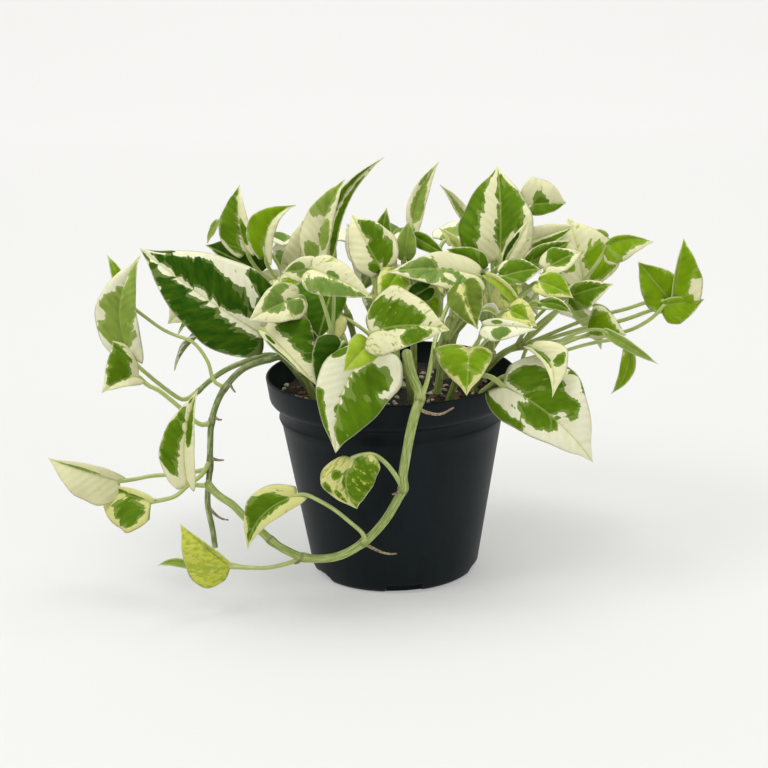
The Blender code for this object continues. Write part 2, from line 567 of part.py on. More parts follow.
def cut(piece, cutters, name):
    """Take the cutters out of a piece with one Boolean, applied, and remove them."""
    group = bpy.data.collections.new(name)
    for cutter in cutters:
        for home in list(cutter.users_collection):
            home.objects.unlink(cutter)
        group.objects.link(cutter)
    boolean = piece.modifiers.new(name, "BOOLEAN")
    boolean.operation = "DIFFERENCE"
    boolean.operand_type = "COLLECTION"
    boolean.collection = group
    boolean.solver = "EXACT"
    apply(piece)
    for cutter in cutters:
        bpy.data.objects.remove(cutter)
    bpy.data.collections.remove(group)


def apply(piece):
    """Replace a piece's mesh by the mesh that its modifiers make."""
    bpy.context.view_layer.update()
    evaluated = piece.evaluated_get(bpy.context.evaluated_depsgraph_get())
    mesh = bpy.data.meshes.new_from_object(evaluated)
    piece.modifiers.clear()
    piece.data = mesh


def make_pot():
    """The pot, with its drainage notches round the foot."""
    outer, inner = pot_profile()
    profile = [(0.0, 0.0)] + outer + inner + [(0.0, SOIL_FLOOR - GAP)]
    points, faces = turned(profile, POT_SIDES)
    pot = solid("pot", points, faces, material("black_polypropylene", POT_BLACK, 0.55))
    outward(pot)
    place("pot", points, faces)
    cutters = []
    for angle in NOTCH_ANGLES:
        way = radians(angle - 90.0)
        out = np.array((cos(way), sin(way), 0.0))
        aside = np.array((-sin(way), cos(way), 0.0))
        near, far = BODY_FOOT_RADIUS - FOOT_FILLET - 0.5, BODY_FOOT_RADIUS + 8.0
        corners = []
        for z in (-1.0, NOTCH_HEIGHT):
            half = NOTCH_WIDTH / 2 - (0.0 if z < 0 else 2.0)
            for reach, hand in ((near, -1), (far, -1), (far, 1), (near, 1)):
                corners.append(out * reach + aside * half * hand + np.array((0.0, 0.0, z)))
        box = [(0, 1, 2, 3), (7, 6, 5, 4), (0, 4, 5, 1), (1, 5, 6, 2), (2, 6, 7, 3), (3, 7, 4, 0)]
        cutter = solid("notch", corners, box)
        outward(cutter)
        cutters.append(cutter)
    cut(pot, cutters, "notches")
    pot.data.shade_smooth()
    pot.data.set_sharp_from_angle(angle=radians(35))
    return pot


def soil_height(radius):
    """The soil's top: a little higher in the middle than at the pot's wall."""
    return SOIL_TOP + SOIL_CROWN * (1 - (radius / 70.0) ** 2)


def make_soil(holes):
    """The soil, which fills the pot up to its top, with a plain hole for each stem."""
    crease = POT_HEIGHT - RIM_BAND
    foot = BODY_FOOT_RADIUS - WALL - GAP - 6.0
    floor = SOIL_FLOOR + NOTCH_HEIGHT
    slope = (BODY_TOP_RADIUS - BODY_FOOT_RADIUS) / crease
    wall_low = BODY_FOOT_RADIUS - WALL - GAP + slope * floor - 0.6
    wall_high = BODY_TOP_RADIUS - WALL - GAP - 0.6
    side = [(foot, SOIL_FLOOR), (foot, floor), (wall_low, floor + 2.0), (wall_high, crease),
            (wall_high + 2.2, soil_height(70.0))]
    top = [(38.0, soil_height(38.0))]
    points, faces = turned([(0.0, SOIL_FLOOR)] + side + top + [(0.0, soil_height(0.0))], SOIL_SIDES)
    soil = solid("soil", points, faces, material("potting_soil", SOIL_BROWN, 0.95))
    outward(soil)
    place("soil", points, faces)
    cutters = []
    for (x, y), radius, sides in holes:
        path = [(x, y, SOIL_TOP - STEM_DEPTH - GAP), (x, y, SOIL_TOP + 8.0)]
        reach = radius + GAP / cos(pi / sides)
        points, faces = tube(path, [reach] * 2, sides)
        cutter = solid("hole", points, faces)
        outward(cutter)
        cutters.append(cutter)
    cut(soil, cutters, "stem_holes")
    return soil


def fuse(name, pieces, finish):
    """One closed body from a stem and its stalks and blades, by one Boolean union."""
    first, rest = pieces[0], pieces[1:]
    body = solid(name, *first, finish)
    outward(body)
    group = bpy.data.collections.new(name + "_leaves")
    for points, faces in rest:
        piece = solid("piece", points, faces)
        outward(piece)
        for home in list(piece.users_collection):
            home.objects.unlink(piece)
        group.objects.link(piece)
    union = body.modifiers.new("leaves", "BOOLEAN")
    union.operation = "UNION"
    union.operand_type = "COLLECTION"
    union.collection = group
    union.solver = "MANIFOLD"
    apply(body)
    for piece in list(group.objects):
        bpy.data.objects.remove(piece)
    bpy.data.collections.remove(group)
    body.data.shade_smooth()
    body.data.set_sharp_from_angle(angle=radians(40))
    return body


def clear_scene():
    """Remove what the file opens with."""
    for piece in list(bpy.data.objects):
        bpy.data.objects.remove(piece)


def make_plant():
    """The pot, the soil and every stem with its leaves."""
    stems = dict(STEMS)
    for name, (foot, top, heading) in BACK_STEMS.items():
        stems[name] = dict(foot=foot, top=top, radius=(2.4, 1.6), leaves=back_leaves(top, heading))
    make_pot()
    for stem in stems.values():
        stem["sides"] = VINE_SIDES if "knots" in stem else STEM_SIDES
    make_soil([(stem["foot"], stem["radius"][0], stem["sides"]) for stem in stems.values()])
    pieces = {}
    for name, stem in stems.items():
        path = stem_path(stem)
        foot, end = stem["radius"]
        radii = np.interp(np.arange(len(path)), (2, len(path) - 1), (foot, end))
        shape = tube(path, radii, stem["sides"])
        place(name, *shape)
        pieces[name] = [shape]
        stem["path"] = path
    for name, stem in stems.items():
        path = stem["path"]
        for row in stem["leaves"]:
            at = 3 + (len(path) - 4 - STALK_SET_IN) * row.join
            k = int(at)
            start = path[k] + (path[k + 1] - path[k]) * (at - k)
            shape = settle(name, row, start)
            place(name + " leaf", *shape)
            pieces[name].append(shape)
    for name, shapes in pieces.items():
        fuse(name, shapes, material("leaf_green", LEAF_GREEN, 0.45))


clear_scene()
make_plant()
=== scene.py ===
# %% [markdown]
# # A potted pothos with cream-and-green leaves
# The real object is a young trailing houseplant in a black nursery pot. Its frame was modelled before as
# plain solids: a pot, soil, three trailing vines and nineteen upright leafy stems. This file dresses that
# frame. Each leaf gets a fine blade with painted variegation, each stem and stalk a grooved green skin, and
# the pot and soil get their own finish. The table of leaves is the one that placed the solids, so each fine
# leaf lies in its solid.

# %% Load the frame
import random
from collections import namedtuple
from itertools import combinations
from math import cos, pi, radians, sin

import bpy
import numpy as np
from mathutils import Matrix


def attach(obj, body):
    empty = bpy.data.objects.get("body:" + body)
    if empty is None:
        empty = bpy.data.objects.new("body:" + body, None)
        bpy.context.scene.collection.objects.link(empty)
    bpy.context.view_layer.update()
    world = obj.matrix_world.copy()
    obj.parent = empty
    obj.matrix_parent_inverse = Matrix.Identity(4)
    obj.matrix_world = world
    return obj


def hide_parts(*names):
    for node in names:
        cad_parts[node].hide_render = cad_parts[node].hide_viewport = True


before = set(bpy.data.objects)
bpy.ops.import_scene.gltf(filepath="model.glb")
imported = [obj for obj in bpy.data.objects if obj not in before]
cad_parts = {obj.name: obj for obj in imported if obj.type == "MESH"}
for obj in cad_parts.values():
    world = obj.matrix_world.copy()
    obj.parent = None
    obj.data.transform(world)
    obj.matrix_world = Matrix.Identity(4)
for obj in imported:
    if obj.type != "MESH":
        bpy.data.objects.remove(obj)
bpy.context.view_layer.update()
MM = 0.001

# %% [markdown]
# ## The camera
# The photograph was taken with a long lens from a little above the plant. The table of leaves says where
# each leaf is seen from that same eye, so the camera stands exactly there. Its tilt and slight roll could
# be given as angles, but three directions are easier to check: right, up and forward.

# %% Camera
EYE = np.array((-4.3, -1200.0, 450.4))
PITCH = 0.271
ROLL = -0.025
FOCAL_PIXELS = 2044
PICTURE_PIXELS = 768
SENSOR = 36.0
NEAREST = 0.05

level = np.array((1.0, 0.0, 0.0))
upright = np.array((0.0, sin(PITCH), cos(PITCH)))
forward = np.array((0.0, cos(PITCH), -sin(PITCH)))
to_right = cos(ROLL) * level + sin(ROLL) * upright
to_top = cos(ROLL) * upright - sin(ROLL) * level

lens = bpy.data.cameras.new("photo_lens")
lens.sensor_width = SENSOR
lens.lens = FOCAL_PIXELS / PICTURE_PIXELS * SENSOR
lens.clip_start = NEAREST
camera = bpy.data.objects.new("photo_camera", lens)
bpy.context.collection.objects.link(camera)
turn = np.stack((to_right, to_top, -forward), axis=1)
camera.matrix_world = Matrix.Translation(EYE * MM) @ Matrix(turn.tolist()).to_4x4()
bpy.context.scene.camera = camera
print("camera at", (EYE * MM).round(3).tolist(), "lens", round(lens.lens, 1), "mm")

# %% [markdown]
# ## Colours and nodes
# Colours are written as the hex values that a screen shows. Blender's shaders work with linear light, so
# one function turns a hex value to linear. A material is a tree of nodes, which could be linked one by one.
# A small function that adds a node with its settings and its inputs keeps each material readable as a list
# of steps.


# %% Helpers for materials
def linear(colour):
    """A screen colour such as '#4a7d22' as linear red, green, blue and alpha."""
    parts = np.array([int(colour[k:k + 2], 16) for k in (1, 3, 5)]) / 255
    light = np.where(parts <= 0.04045, parts / 12.92, ((parts + 0.055) / 1.055) ** 2.4)
    return (*light.tolist(), 1.0)


def feed(tree, node, **inputs):
    """Set a node's inputs: each to a value, to another node's first output, or to one of its outputs."""
    for name, value in inputs.items():
        socket = node.inputs[int(name[1:])] if name[1:].isdigit() else node.inputs[name.replace("_", " ")]
        if isinstance(value, bpy.types.Node):
            value = value.outputs[0]
        if isinstance(value, bpy.types.NodeSocket):
            tree.links.new(value, socket)
        else:
            socket.default_value = value


def add(tree, kind, settings=(), **inputs):
    """A new node of a kind, with its settings and its inputs. _0 and _1 are inputs by their number."""
    node = tree.nodes.new("ShaderNode" + kind)
    for name, value in dict(settings).items():
        setattr(node, name, value)
    feed(tree, node, **inputs)
    return node


def new_material(name, **fixed):
    """A material with its Principled shader, and the values that are the same all over it."""
    made = bpy.data.materials.new(name)
    made.use_nodes = True
    shader = made.node_tree.nodes["Principled BSDF"]
    feed(made.node_tree, shader, **fixed)
    return made, made.node_tree, shader


print("half of a screen's brightness is", round(linear("#808080")[0], 3), "of its light")

# %% [markdown]
# ## Meshes from formulas
# Every piece is a surface worked out as a grid of points, row by row, and turned into an object in one
# go. Blender's own primitives would have to be bent afterwards, while a formula puts each point straight
# where it belongs.


# %% Helpers for meshes
def surface(name, points, faces, finish, body="root", slot=None, smooth=True):
    """A piece of the plant from points in millimetres and arrays of faces, with its material."""
    mesh = bpy.data.meshes.new(name)
    corners = [face for block in faces for face in np.asarray(block).tolist()]
    mesh.from_pydata((np.asarray(points) * MM).tolist(), [], corners)
    mesh.materials.append(finish)
    mesh.polygons.foreach_set("use_smooth", np.full(len(mesh.polygons), smooth))
    piece = bpy.data.objects.new(name, mesh)
    bpy.context.collection.objects.link(piece)
    if body:
        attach(piece, body)
    return piece


def grid_faces(rows, columns, closed=False):
    """The four-sided faces of a grid of points, row by row; closed joins the last column to the first."""
    row, column = np.meshgrid(np.arange(rows - 1), np.arange(columns - (not closed)), indexing="ij")
    after = (column + 1) % columns
    return np.stack((row * columns + column, row * columns + after,
                     (row + 1) * columns + after, (row + 1) * columns + column), axis=-1).reshape(-1, 4)


def unit(vector):
    """The same direction at length one."""
    return vector / np.linalg.norm(vector)


print("a grid of 3 by 3 points has", len(grid_faces(3, 3)), "faces")

# %% [markdown]
# ## The studio
# The photograph is a bright product shot on white paper that lies on the table and runs up a wall. Two
# planes would meet in a line, so table and wall are one sheet: a profile with a soft bend, carried straight
# across. It is wide, and its wall stands well behind the plant, so that the plant can be looked at from its
# sides and from behind as well. The paper also glows a little by itself, most of all at the wall. This glow
# is painted light: it stands in for the lamps that light only the background, and it also lifts the
# shadows that fall on the paper.

# %% Table and wall
TABLE_FRONT = -4500.0
WALL_BACK = 2600.0
BEND = 800.0
BEND_POINTS = 25
WALL_TOP = 3200.0
HALF_WIDTH = 4500.0

arc = np.linspace(0.0, pi / 2, BEND_POINTS)
run_y = np.concatenate(([TABLE_FRONT], WALL_BACK - BEND + BEND * np.sin(arc), [WALL_BACK]))
run_z = np.concatenate(([0.0], BEND - BEND * np.cos(arc), [WALL_TOP]))
sides = np.array((-HALF_WIDTH, HALF_WIDTH))
sweep = np.stack(np.broadcast_arrays(sides[None, :], run_y[:, None], run_z[:, None]), axis=-1)

# The paper's glow, painted light, grows between these two distances behind the pot's middle, in metres.
GLOW_STARTS = 0.3
GLOW_FULL = 1.9
GLOW_LEAST = 0.31
GLOW_MOST = 0.49
paper, tree, shader = new_material("white_backdrop_paper", Roughness=0.85, Base_Color=linear("#b9bab8"),
                                   Emission_Color=linear("#fcfafa"))
place = add(tree, "SeparateXYZ", Vector=add(tree, "TexCoord").outputs["Object"])
# Painted light: the paper's own glow, brighter towards the wall, which also lightens the shadows on it.
painted_glow = add(tree, "MapRange", Value=place.outputs["Y"], From_Min=GLOW_STARTS, From_Max=GLOW_FULL,
           To_Min=GLOW_LEAST, To_Max=GLOW_MOST)
feed(tree, shader, Emission_Strength=painted_glow)
backdrop = surface("backdrop", sweep.reshape(-1, 3), [grid_faces(len(run_y), 2)], paper, body=None)
print("backdrop:", len(backdrop.data.polygons), "faces")

# %% [markdown]
# ### Lamps
# Large lamps close to the plant give its shadow a soft edge. The broad one at the upper left is the
# brightest, and a white surrounding fills the shadows. A lamp shines along its own -Z, so its Z axis is
# turned away from the plant's middle. Sizes are in metres and powers in watts.

# %% Lamps and fill light
LAMPS = {
    "soft_box_left": ((-1.35, -0.85, 1.85), 1.25, 21.5),
    "soft_box_top": ((0.3, 0.2, 1.9), 1.2, 16.0),
    "soft_box_right": ((1.7, -1.0, 0.9), 1.0, 5.0),
}
LAMP_AIM = np.array((0.0, 0.0, 0.12))
FILL = 0.60

for name, (place, size, power) in LAMPS.items():
    lamp = bpy.data.lights.new(name, "AREA")
    lamp.shape = "DISK"
    lamp.size = size
    lamp.energy = power
    holder = bpy.data.objects.new(name, lamp)
    bpy.context.collection.objects.link(holder)
    away = unit(np.array(place) - LAMP_AIM)
    across = unit(np.cross((0.0, 0.0, 1.0), away))
    axes = np.stack((across, np.cross(away, across), away), axis=1)
    holder.matrix_world = Matrix.Translation(place) @ Matrix(axes.tolist()).to_4x4()

sky = bpy.data.worlds.new("studio_fill")
sky.use_nodes = True
feed(sky.node_tree, sky.node_tree.nodes["Background"], Color=linear("#f7f7f3"), Strength=FILL)
bpy.context.scene.world = sky
bpy.context.scene.view_settings.view_transform = "Standard"
print("lamps:", ", ".join(LAMPS))

# %% [markdown]
# ## The pot
# The pot is injection-moulded polypropylene, black all through, with a fine matt grain from the mould. It
# is a turned form, so one outline of radius and height is carried round a full circle. A Screw modifier
# could do that, but the foot has five notches that let water out. There the outline changes to a second
# one, which steps up under the wall, and a share between 0 and 1 says how far each angle is from the plain
# outline to the notched one.

# %% Pot sizes and outline
POT_HEIGHT = 125.0
RIM_RADIUS = 76.0
RIM_BAND = 18.5
RIM_ROUND = 1.0
RIM_INNER_ROUND = 0.7
BODY_TOP_RADIUS = 69.0
BODY_FOOT_RADIUS = 50.5
SHOULDER_ROUND = 1.0
WALL = 1.6
GAP = 0.3
FOOT_FILLET = 4.5
FOOT_ANGLE = 82.0
FLAT_START = 6.0
FLOOR_RADIUS = BODY_FOOT_RADIUS - 8.0
NOTCH_ANGLES = (-66.0, 6.0, 78.0, 150.0, 222.0)
NOTCH_WIDTH = 24.0
NOTCH_HEIGHT = 5.5
NOTCH_EDGE = 0.02
SOIL_FLOOR = 2.2
CREASE = POT_HEIGHT - RIM_BAND
BODY_START = 8.0
BODY_END = CREASE - 12.0
BODY_RINGS = 14
WALL_SLOPE = (BODY_TOP_RADIUS - BODY_FOOT_RADIUS) / CREASE


def rounded(centre, radius, start, stop, count=6):
    """Points of a round edge: a circle of a radius about a centre, between two angles in degrees."""
    angle = np.radians(np.linspace(start, stop, count))
    return [(centre[0] + radius * cos(a), centre[1] + radius * sin(a)) for a in angle]


def pot_wall():
    """The pot's outline above the foot: up the outside, over the rim and down the inside.

    The body is a straight cone with a rounded shoulder. Above it the wall steps out in a crease to the
    rim band, which flares a little towards its rounded top.
    """
    body = [(BODY_FOOT_RADIUS + WALL_SLOPE * z, z) for z in np.linspace(BODY_START, BODY_END, BODY_RINGS)]
    shoulder = rounded((BODY_TOP_RADIUS - 1.2, CREASE - 7.5), SHOULDER_ROUND, 0, 40, count=3)
    crease = [(BODY_TOP_RADIUS + out, CREASE + up)
              for out, up in ((-0.7, -5.5), (-0.3, -0.9), (0.1, 0.0), (1.1, 0.8))]
    band = [(RIM_RADIUS - inward, CREASE + up)
            for inward, up in ((3.2, 2.6), (2.2, 4.0), (1.7, 5.6), (1.2, 9.5))]
    rim = rounded((RIM_RADIUS - RIM_ROUND, POT_HEIGHT - RIM_ROUND), RIM_ROUND, 0, 90)
    rim += rounded((RIM_RADIUS - WALL + RIM_INNER_ROUND, POT_HEIGHT - RIM_INNER_ROUND),
                   RIM_INNER_ROUND, 90, 180)
    inside = [(RIM_RADIUS - WALL - 1.4, CREASE + 6.5), (BODY_TOP_RADIUS - WALL, CREASE),
              (BODY_FOOT_RADIUS - WALL + WALL_SLOPE * FOOT_FILLET, FOOT_FILLET + 1.5),
              (FLOOR_RADIUS, SOIL_FLOOR - GAP)]
    return body + shoulder + crease + band + rim + inside


foot_centre = BODY_FOOT_RADIUS - FOOT_FILLET
flat = [(r, 0.0) for r in np.linspace(FLAT_START, foot_centre - 1.0, 6)]
plain_foot = flat + [(foot_centre + FOOT_FILLET * sin(a), FOOT_FILLET - FOOT_FILLET * cos(a))
                     for a in np.linspace(0.0, radians(FOOT_ANGLE), 7)]
notch_start = foot_centre - 0.5
notch_foot = flat + [(notch_start, 0.0)]
notch_foot += [(notch_start + out, NOTCH_HEIGHT - below)
               for out, below in ((0.1, 0.4), (0.5, 0.0), (2.0, 0.0), (3.8, 0.0))]
notch_foot += [(BODY_FOOT_RADIUS + 0.8, NOTCH_HEIGHT), (BODY_FOOT_RADIUS + 1.1, NOTCH_HEIGHT + 0.5)]
print("pot outline:", len(pot_wall()), "points of wall above", len(plain_foot), "points of foot")


# %% Turn the outline
POT_STEPS = 288


def turned(radius, height, angle):
    """Points of a turned form: rings of radius and height, then a pole at each end of the outline."""
    rings = np.stack((radius * np.cos(angle), radius * np.sin(angle), height), axis=-1)
    poles = np.array(((0.0, 0.0, height[0].mean()), (0.0, 0.0, height[-1].mean())))
    return np.concatenate((rings.reshape(-1, 3), poles))


def turned_faces(rings, steps):
    """The faces of a turned form: a closed grid, and a fan of triangles to each pole."""
    here = np.arange(steps)
    after = (here + 1) % steps
    first = np.stack((np.full(steps, rings * steps), after, here), axis=1)
    end = (rings - 1) * steps
    last = np.stack((end + here, end + after, np.full(steps, rings * steps + 1)), axis=1)
    return [grid_faces(rings, steps, closed=True), first, last]


def pot_points():
    """The pot on a grid of angle and place along its outline.

    Each point is radius times the angle's direction, plus its height. Radius and height are those of
    the plain outline, mixed with the notched one by a share that is 1 within a notch's width and falls
    to 0 over a narrow edge.
    """
    wall = pot_wall()
    plain, notched = np.array(plain_foot + wall), np.array(notch_foot + wall)
    angle = np.linspace(0.0, 2 * pi, POT_STEPS, endpoint=False)
    centres = np.radians(np.array(NOTCH_ANGLES) - 90.0)
    away = np.abs((angle[:, None] - centres + pi) % (2 * pi) - pi).min(axis=1)
    half = NOTCH_WIDTH / 2 / BODY_FOOT_RADIUS
    share = np.clip((half - away) / NOTCH_EDGE, 0.0, 1.0)[:, None]
    outline = plain[:, None] * (1 - share) + notched[:, None] * share
    return turned(outline[..., 0], outline[..., 1], angle), len(plain)


print("the pot is turned in", POT_STEPS, "steps of", 360 / POT_STEPS, "degrees")

# %% [markdown]
# ### Black polypropylene
# The plastic looks near black in front, and a soft grey where it turns to a lamp, because its fine grain
# spreads the shine. Handling leaves faint pale scuffs, so a slow noise mixes two blacks and changes the
# roughness. The scuffs are about 22 mm wide and four times as tall, and the mould's grain is drawn 0.9 mm
# wide, coarser than the real one, so that it shows.

# %% Pot material
SCUFFS_PER_METRE = 45.0
GRAIN_PER_METRE = 1 / (0.9 * MM)


def two_tones(tree, shader, field, low, high, dark, light, **relief):
    """Colour a finish between two tones by a field, and raise it by the same field if relief is given."""
    share = add(tree, "MapRange", Value=field, From_Min=low, From_Max=high)
    feed(tree, shader, Base_Color=add(tree, "MixRGB", Fac=share, Color1=linear(dark), Color2=linear(light)))
    if relief:
        feed(tree, shader, Normal=add(tree, "Bump", Height=field, **relief))


plastic, tree, shader = new_material("black_polypropylene", IOR=1.49, Specular_IOR_Level=0.16)
place = add(tree, "TexCoord").outputs["Object"]
stretch = add(tree, "Mapping", Vector=place, Scale=(1.0, 1.0, 0.25))
scuffs = add(tree, "TexNoise", Vector=stretch, Scale=SCUFFS_PER_METRE, Detail=8.0, Roughness=0.7)
two_tones(tree, shader, scuffs, 0.45, 0.8, "#051014", "#0e1e23")
gloss = add(tree, "MapRange", Value=scuffs, To_Min=0.36, To_Max=0.55)
grain = add(tree, "TexNoise", Vector=place, Scale=GRAIN_PER_METRE, Detail=2.0)
relief = add(tree, "Bump", Height=grain, Strength=0.35, Distance=0.0002)
feed(tree, shader, Roughness=gloss, Normal=relief)

# %% Build the pot
points, rings = pot_points()
pot = surface("nursery_pot", points, turned_faces(rings, POT_STEPS), plastic, slot="pot_plastic")
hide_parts("pot")
print("pot:", len(pot.data.polygons), "faces")

# %% [markdown]
# ## The soil
# Potting mix is dark peat with white perlite grains and brown bark chips. Its top could be sculpted, but a
# sum of waves in random directions gives lumps of the right size, the same at each run. So the height of
# each point of a disc is a low crown plus such a sum, for coarse lumps and again for fine ones.

# %% Lumps, and the soil's top
SOIL_TOP = 113.0
SOIL_CROWN = 2.5
SOIL_SEED = 5
WAVES = 28
# The lumps, coarse and fine: their size across and their height.
LUMPS = ((17.0, 1.3), (5.0, 0.5))
CROWN_REACH = 70.0
SETTLED_BY = 0.8


def lumps(across, depth, size, seed):
    """A rough field between about -1 and 1: a sum of sine waves of random direction and phase.

    The waves are from once to five times finer than size, and finer waves are lower.
    """
    draw = np.random.default_rng(seed)
    heading, phase = draw.uniform(0, 2 * pi, (2, WAVES))
    fine = 1 + 4 * draw.random(WAVES) ** 2
    swing = (across[..., None] * np.cos(heading) + depth[..., None] * np.sin(heading)) * 2 * pi * fine / size
    return (np.sin(swing + phase) / fine).sum(axis=-1) / np.sqrt(WAVES)


def soil_height(across, depth):
    """The soil's top: a crown that falls with the square of the distance from the middle, with lumps."""
    share = (across ** 2 + depth ** 2) / CROWN_REACH ** 2
    lumpy = sum(lumps(across, depth, size, SOIL_SEED + k) * tall for k, (size, tall) in enumerate(LUMPS))
    return SOIL_TOP + SOIL_CROWN * (1 - share) - SETTLED_BY + lumpy


# The rings of the disc: five under it and up the pot's wall, then the top from the wall to the middle.
SOIL_STEPS = 160
TOP_RINGS = 46
wall_radius = BODY_TOP_RADIUS - WALL - GAP
soil_radius = np.concatenate(((20.0, 40.0, 46.0), (wall_radius - 0.6, wall_radius + 1.2),
                              np.linspace(wall_radius + 1.0, 1.5, TOP_RINGS)))
below_top = np.array((SOIL_FLOOR, SOIL_FLOOR, SOIL_FLOOR + NOTCH_HEIGHT, CREASE, SOIL_TOP - 3.0))
angle = np.linspace(0.0, 2 * pi, SOIL_STEPS, endpoint=False)
across = soil_radius[:, None] * np.cos(angle)
depth = soil_radius[:, None] * np.sin(angle)
height = soil_height(across, depth)
height[:len(below_top)] = below_top[:, None]
soil_points = turned(np.broadcast_to(soil_radius[:, None], height.shape), height, angle)
soil_top = height[len(below_top):]
print("soil's top: from", round(soil_top.min(), 1), "to", round(soil_top.max(), 1), "mm up")

# %% [markdown]
# ### Finishes for the soil
# Damp peat is almost black with brown fibres, in crumbs of about 2 mm. Perlite is expanded glass rock,
# chalk white and full of pores of half a millimetre. Bark is red-brown with streaks along its grain, about
# 4 mm apart. Each is one noise that mixes two tones and raises the surface.

# %% Soil materials
CRUMBS_PER_METRE = 420.0
PORES_PER_METRE = 1800.0
STREAKS_PER_METRE = 260.0

peat, tree, shader = new_material("damp_peat", Roughness=0.95)
place = add(tree, "TexCoord").outputs["Object"]
crumbs = add(tree, "TexNoise", Vector=place, Scale=CRUMBS_PER_METRE, Detail=6.0, Roughness=0.65)
two_tones(tree, shader, crumbs, 0.42, 0.68, "#0f0b08", "#251c13", Strength=1.0, Distance=0.0015)

perlite, tree, shader = new_material("perlite", Roughness=0.9)
place = add(tree, "TexCoord").outputs["Object"]
pores = add(tree, "TexVoronoi", Vector=place, Scale=PORES_PER_METRE)
two_tones(tree, shader, pores, 0.0, 0.6, "#8a866f", "#bdb9a3", Strength=0.8, Distance=0.0004)

bark, tree, shader = new_material("pine_bark", Roughness=0.85)
place = add(tree, "TexCoord").outputs["Object"]
stretch = add(tree, "Mapping", Vector=place, Scale=(1.0, 3.0, 3.0))
streaks = add(tree, "TexNoise", Vector=stretch, Scale=STREAKS_PER_METRE, Detail=6.0)
two_tones(tree, shader, streaks, 0.35, 0.7, "#2a1a10", "#6e4d30", Strength=0.7, Distance=0.0006)
print("soil finishes:", ", ".join(made.name for made in (peat, perlite, bark)))

# %% [markdown]
# ### Grains and chips
# The loose stones could be scattered by a particle system. A seeded draw makes them all at once instead,
# as one mesh of each kind. One ball of twelve corners and twenty faces is enough for a stone of 2 to 10 mm:
# its corners are stretched and turned for each stone, and pushed in or out a little at random.


# %% Ball, and scattered stones
def ball():
    """The twelve corners and twenty faces of an icosahedron with corners at distance one."""
    golden = (1 + 5 ** 0.5) / 2
    ring = [(0, a, b * golden) for a in (-1, 1) for b in (-1, 1)]
    corners = np.array([np.roll(c, k) for k in range(3) for c in ring], float) / np.hypot(1, golden)
    edge = 2 / np.hypot(1, golden)
    faces = []
    for a, b, c in combinations(range(12), 3):
        trio = corners[[a, b, c]]
        if np.allclose(np.linalg.norm(trio - np.roll(trio, 1, axis=0), axis=1), edge):
            out = np.dot(np.cross(trio[1] - trio[0], trio[2] - trio[0]), trio.sum(axis=0)) > 0
            faces.append((a, b, c) if out else (a, c, b))
    return corners, np.array(faces)


BALL, BALL_FACES = ball()
STONE_REACH = 66.0
STRETCHES = (0.75, 1.25)
BUMPS = (0.75, 1.2)
TIP_SPREAD = 0.35
PROUD_BY = 0.35


def scattered(count, size, shape, seed):
    """Stones on the soil: the ball times a random size and turn, laid on the soil at random places."""
    draw = np.random.default_rng(seed)
    far = STONE_REACH * np.sqrt(draw.random(count))
    way = draw.uniform(0, 2 * pi, count)
    across, depth = far * np.cos(way), far * np.sin(way)
    half = draw.uniform(*size, count)[:, None, None] / 2 * np.array(shape)
    half = half * draw.uniform(*STRETCHES, (count, 1, 3))
    bumpy = BALL * draw.uniform(*BUMPS, (count, len(BALL), 1))
    spin, tip = draw.uniform(0, 2 * pi, count), draw.normal(0, TIP_SPREAD, count)
    spun = np.array([((cos(s), -sin(s), 0), (sin(s), cos(s), 0), (0, 0, 1)) for s in spin])
    tipped = np.array([((1, 0, 0), (0, cos(t), -sin(t)), (0, sin(t), cos(t))) for t in tip])
    stones = np.einsum("nij,njk,npk->npi", spun, tipped, bumpy * half)
    lift = half[:, 0, 2] * PROUD_BY
    stones += np.stack((across, depth, soil_height(across, depth) + lift), axis=1)[:, None]
    faces = BALL_FACES[None] + len(BALL) * np.arange(count)[:, None, None]
    return stones.reshape(-1, 3), [faces.reshape(-1, 3)]


print("one stone has", len(BALL_FACES), "faces")

# %% Build the soil
soil = surface("potting_soil", soil_points, turned_faces(len(soil_radius), SOIL_STEPS), peat,
               slot="potting_soil")
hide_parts("soil")

# Each kind of stone: how many, their sizes across, how long, wide and high for that, a seed, a finish.
STONES = {
    "perlite_grains": (230, (1.6, 4.6), (1.0, 0.9, 0.75), 21, perlite),
    "bark_chips": (170, (3.0, 10.0), (1.0, 0.55, 0.28), 34, bark),
}
for name, (count, size, shape, seed, finish) in STONES.items():
    stones = surface(name, *scattered(count, size, shape, seed), finish, slot="potting_soil", smooth=False)
    print(name, len(stones.data.polygons), "faces")
print("soil:", len(soil.data.polygons), "faces")

# %% [markdown]
# ## The table of stems and leaves
# The same table as in the solids' source. Crown stems stand up from the soil, and the three vines trail.
# A row gives a leaf's base and tip as the eye sees them, its width, and how it turns, folds and arches.
# Places could be given as plain x, y and z, but a place as seen can be checked against the photograph.


# %% Places as seen, and a row of the table
def seen(across, up, back):
    """The point at depth `back` on the sight line through (across, up) of the upright plane."""
    on_plane = np.array((across, 0.0, up), float)
    return EYE + (on_plane - EYE) * (back - EYE[1]) / (0.0 - EYE[1])


Leaf = namedtuple("Leaf", "name join base tip width turn fold arch stalk bend lean toward")


def leaf(name, join, base, tip, width, turn=0.0, fold=12.0, arch=0.08, stalk=(), bend=0.0, lean=0.0):
    """One row of a stem's table.

    join is the share of the stem's length where the leaf's stalk leaves it; base, tip and the
    stalk's own points, where it has any, are places as seen. The upper face looks at the eye,
    turned about the rib by turn, and its halves are folded up by fold, both in degrees. arch lifts
    the rib's middle and bend bows it to the leaf's right, as shares of its length. lean widens the
    right half and narrows the left by a share.
    """
    base, tip = seen(*base), seen(*tip)
    return Leaf(name, join, base, tip, width, turn, fold, arch, [seen(*point) for point in stalk],
                bend, lean, EYE - (base + tip) / 2)


print("the middle of the upright plane lies at", seen(0, 100, 0).round(1).tolist(), "mm")

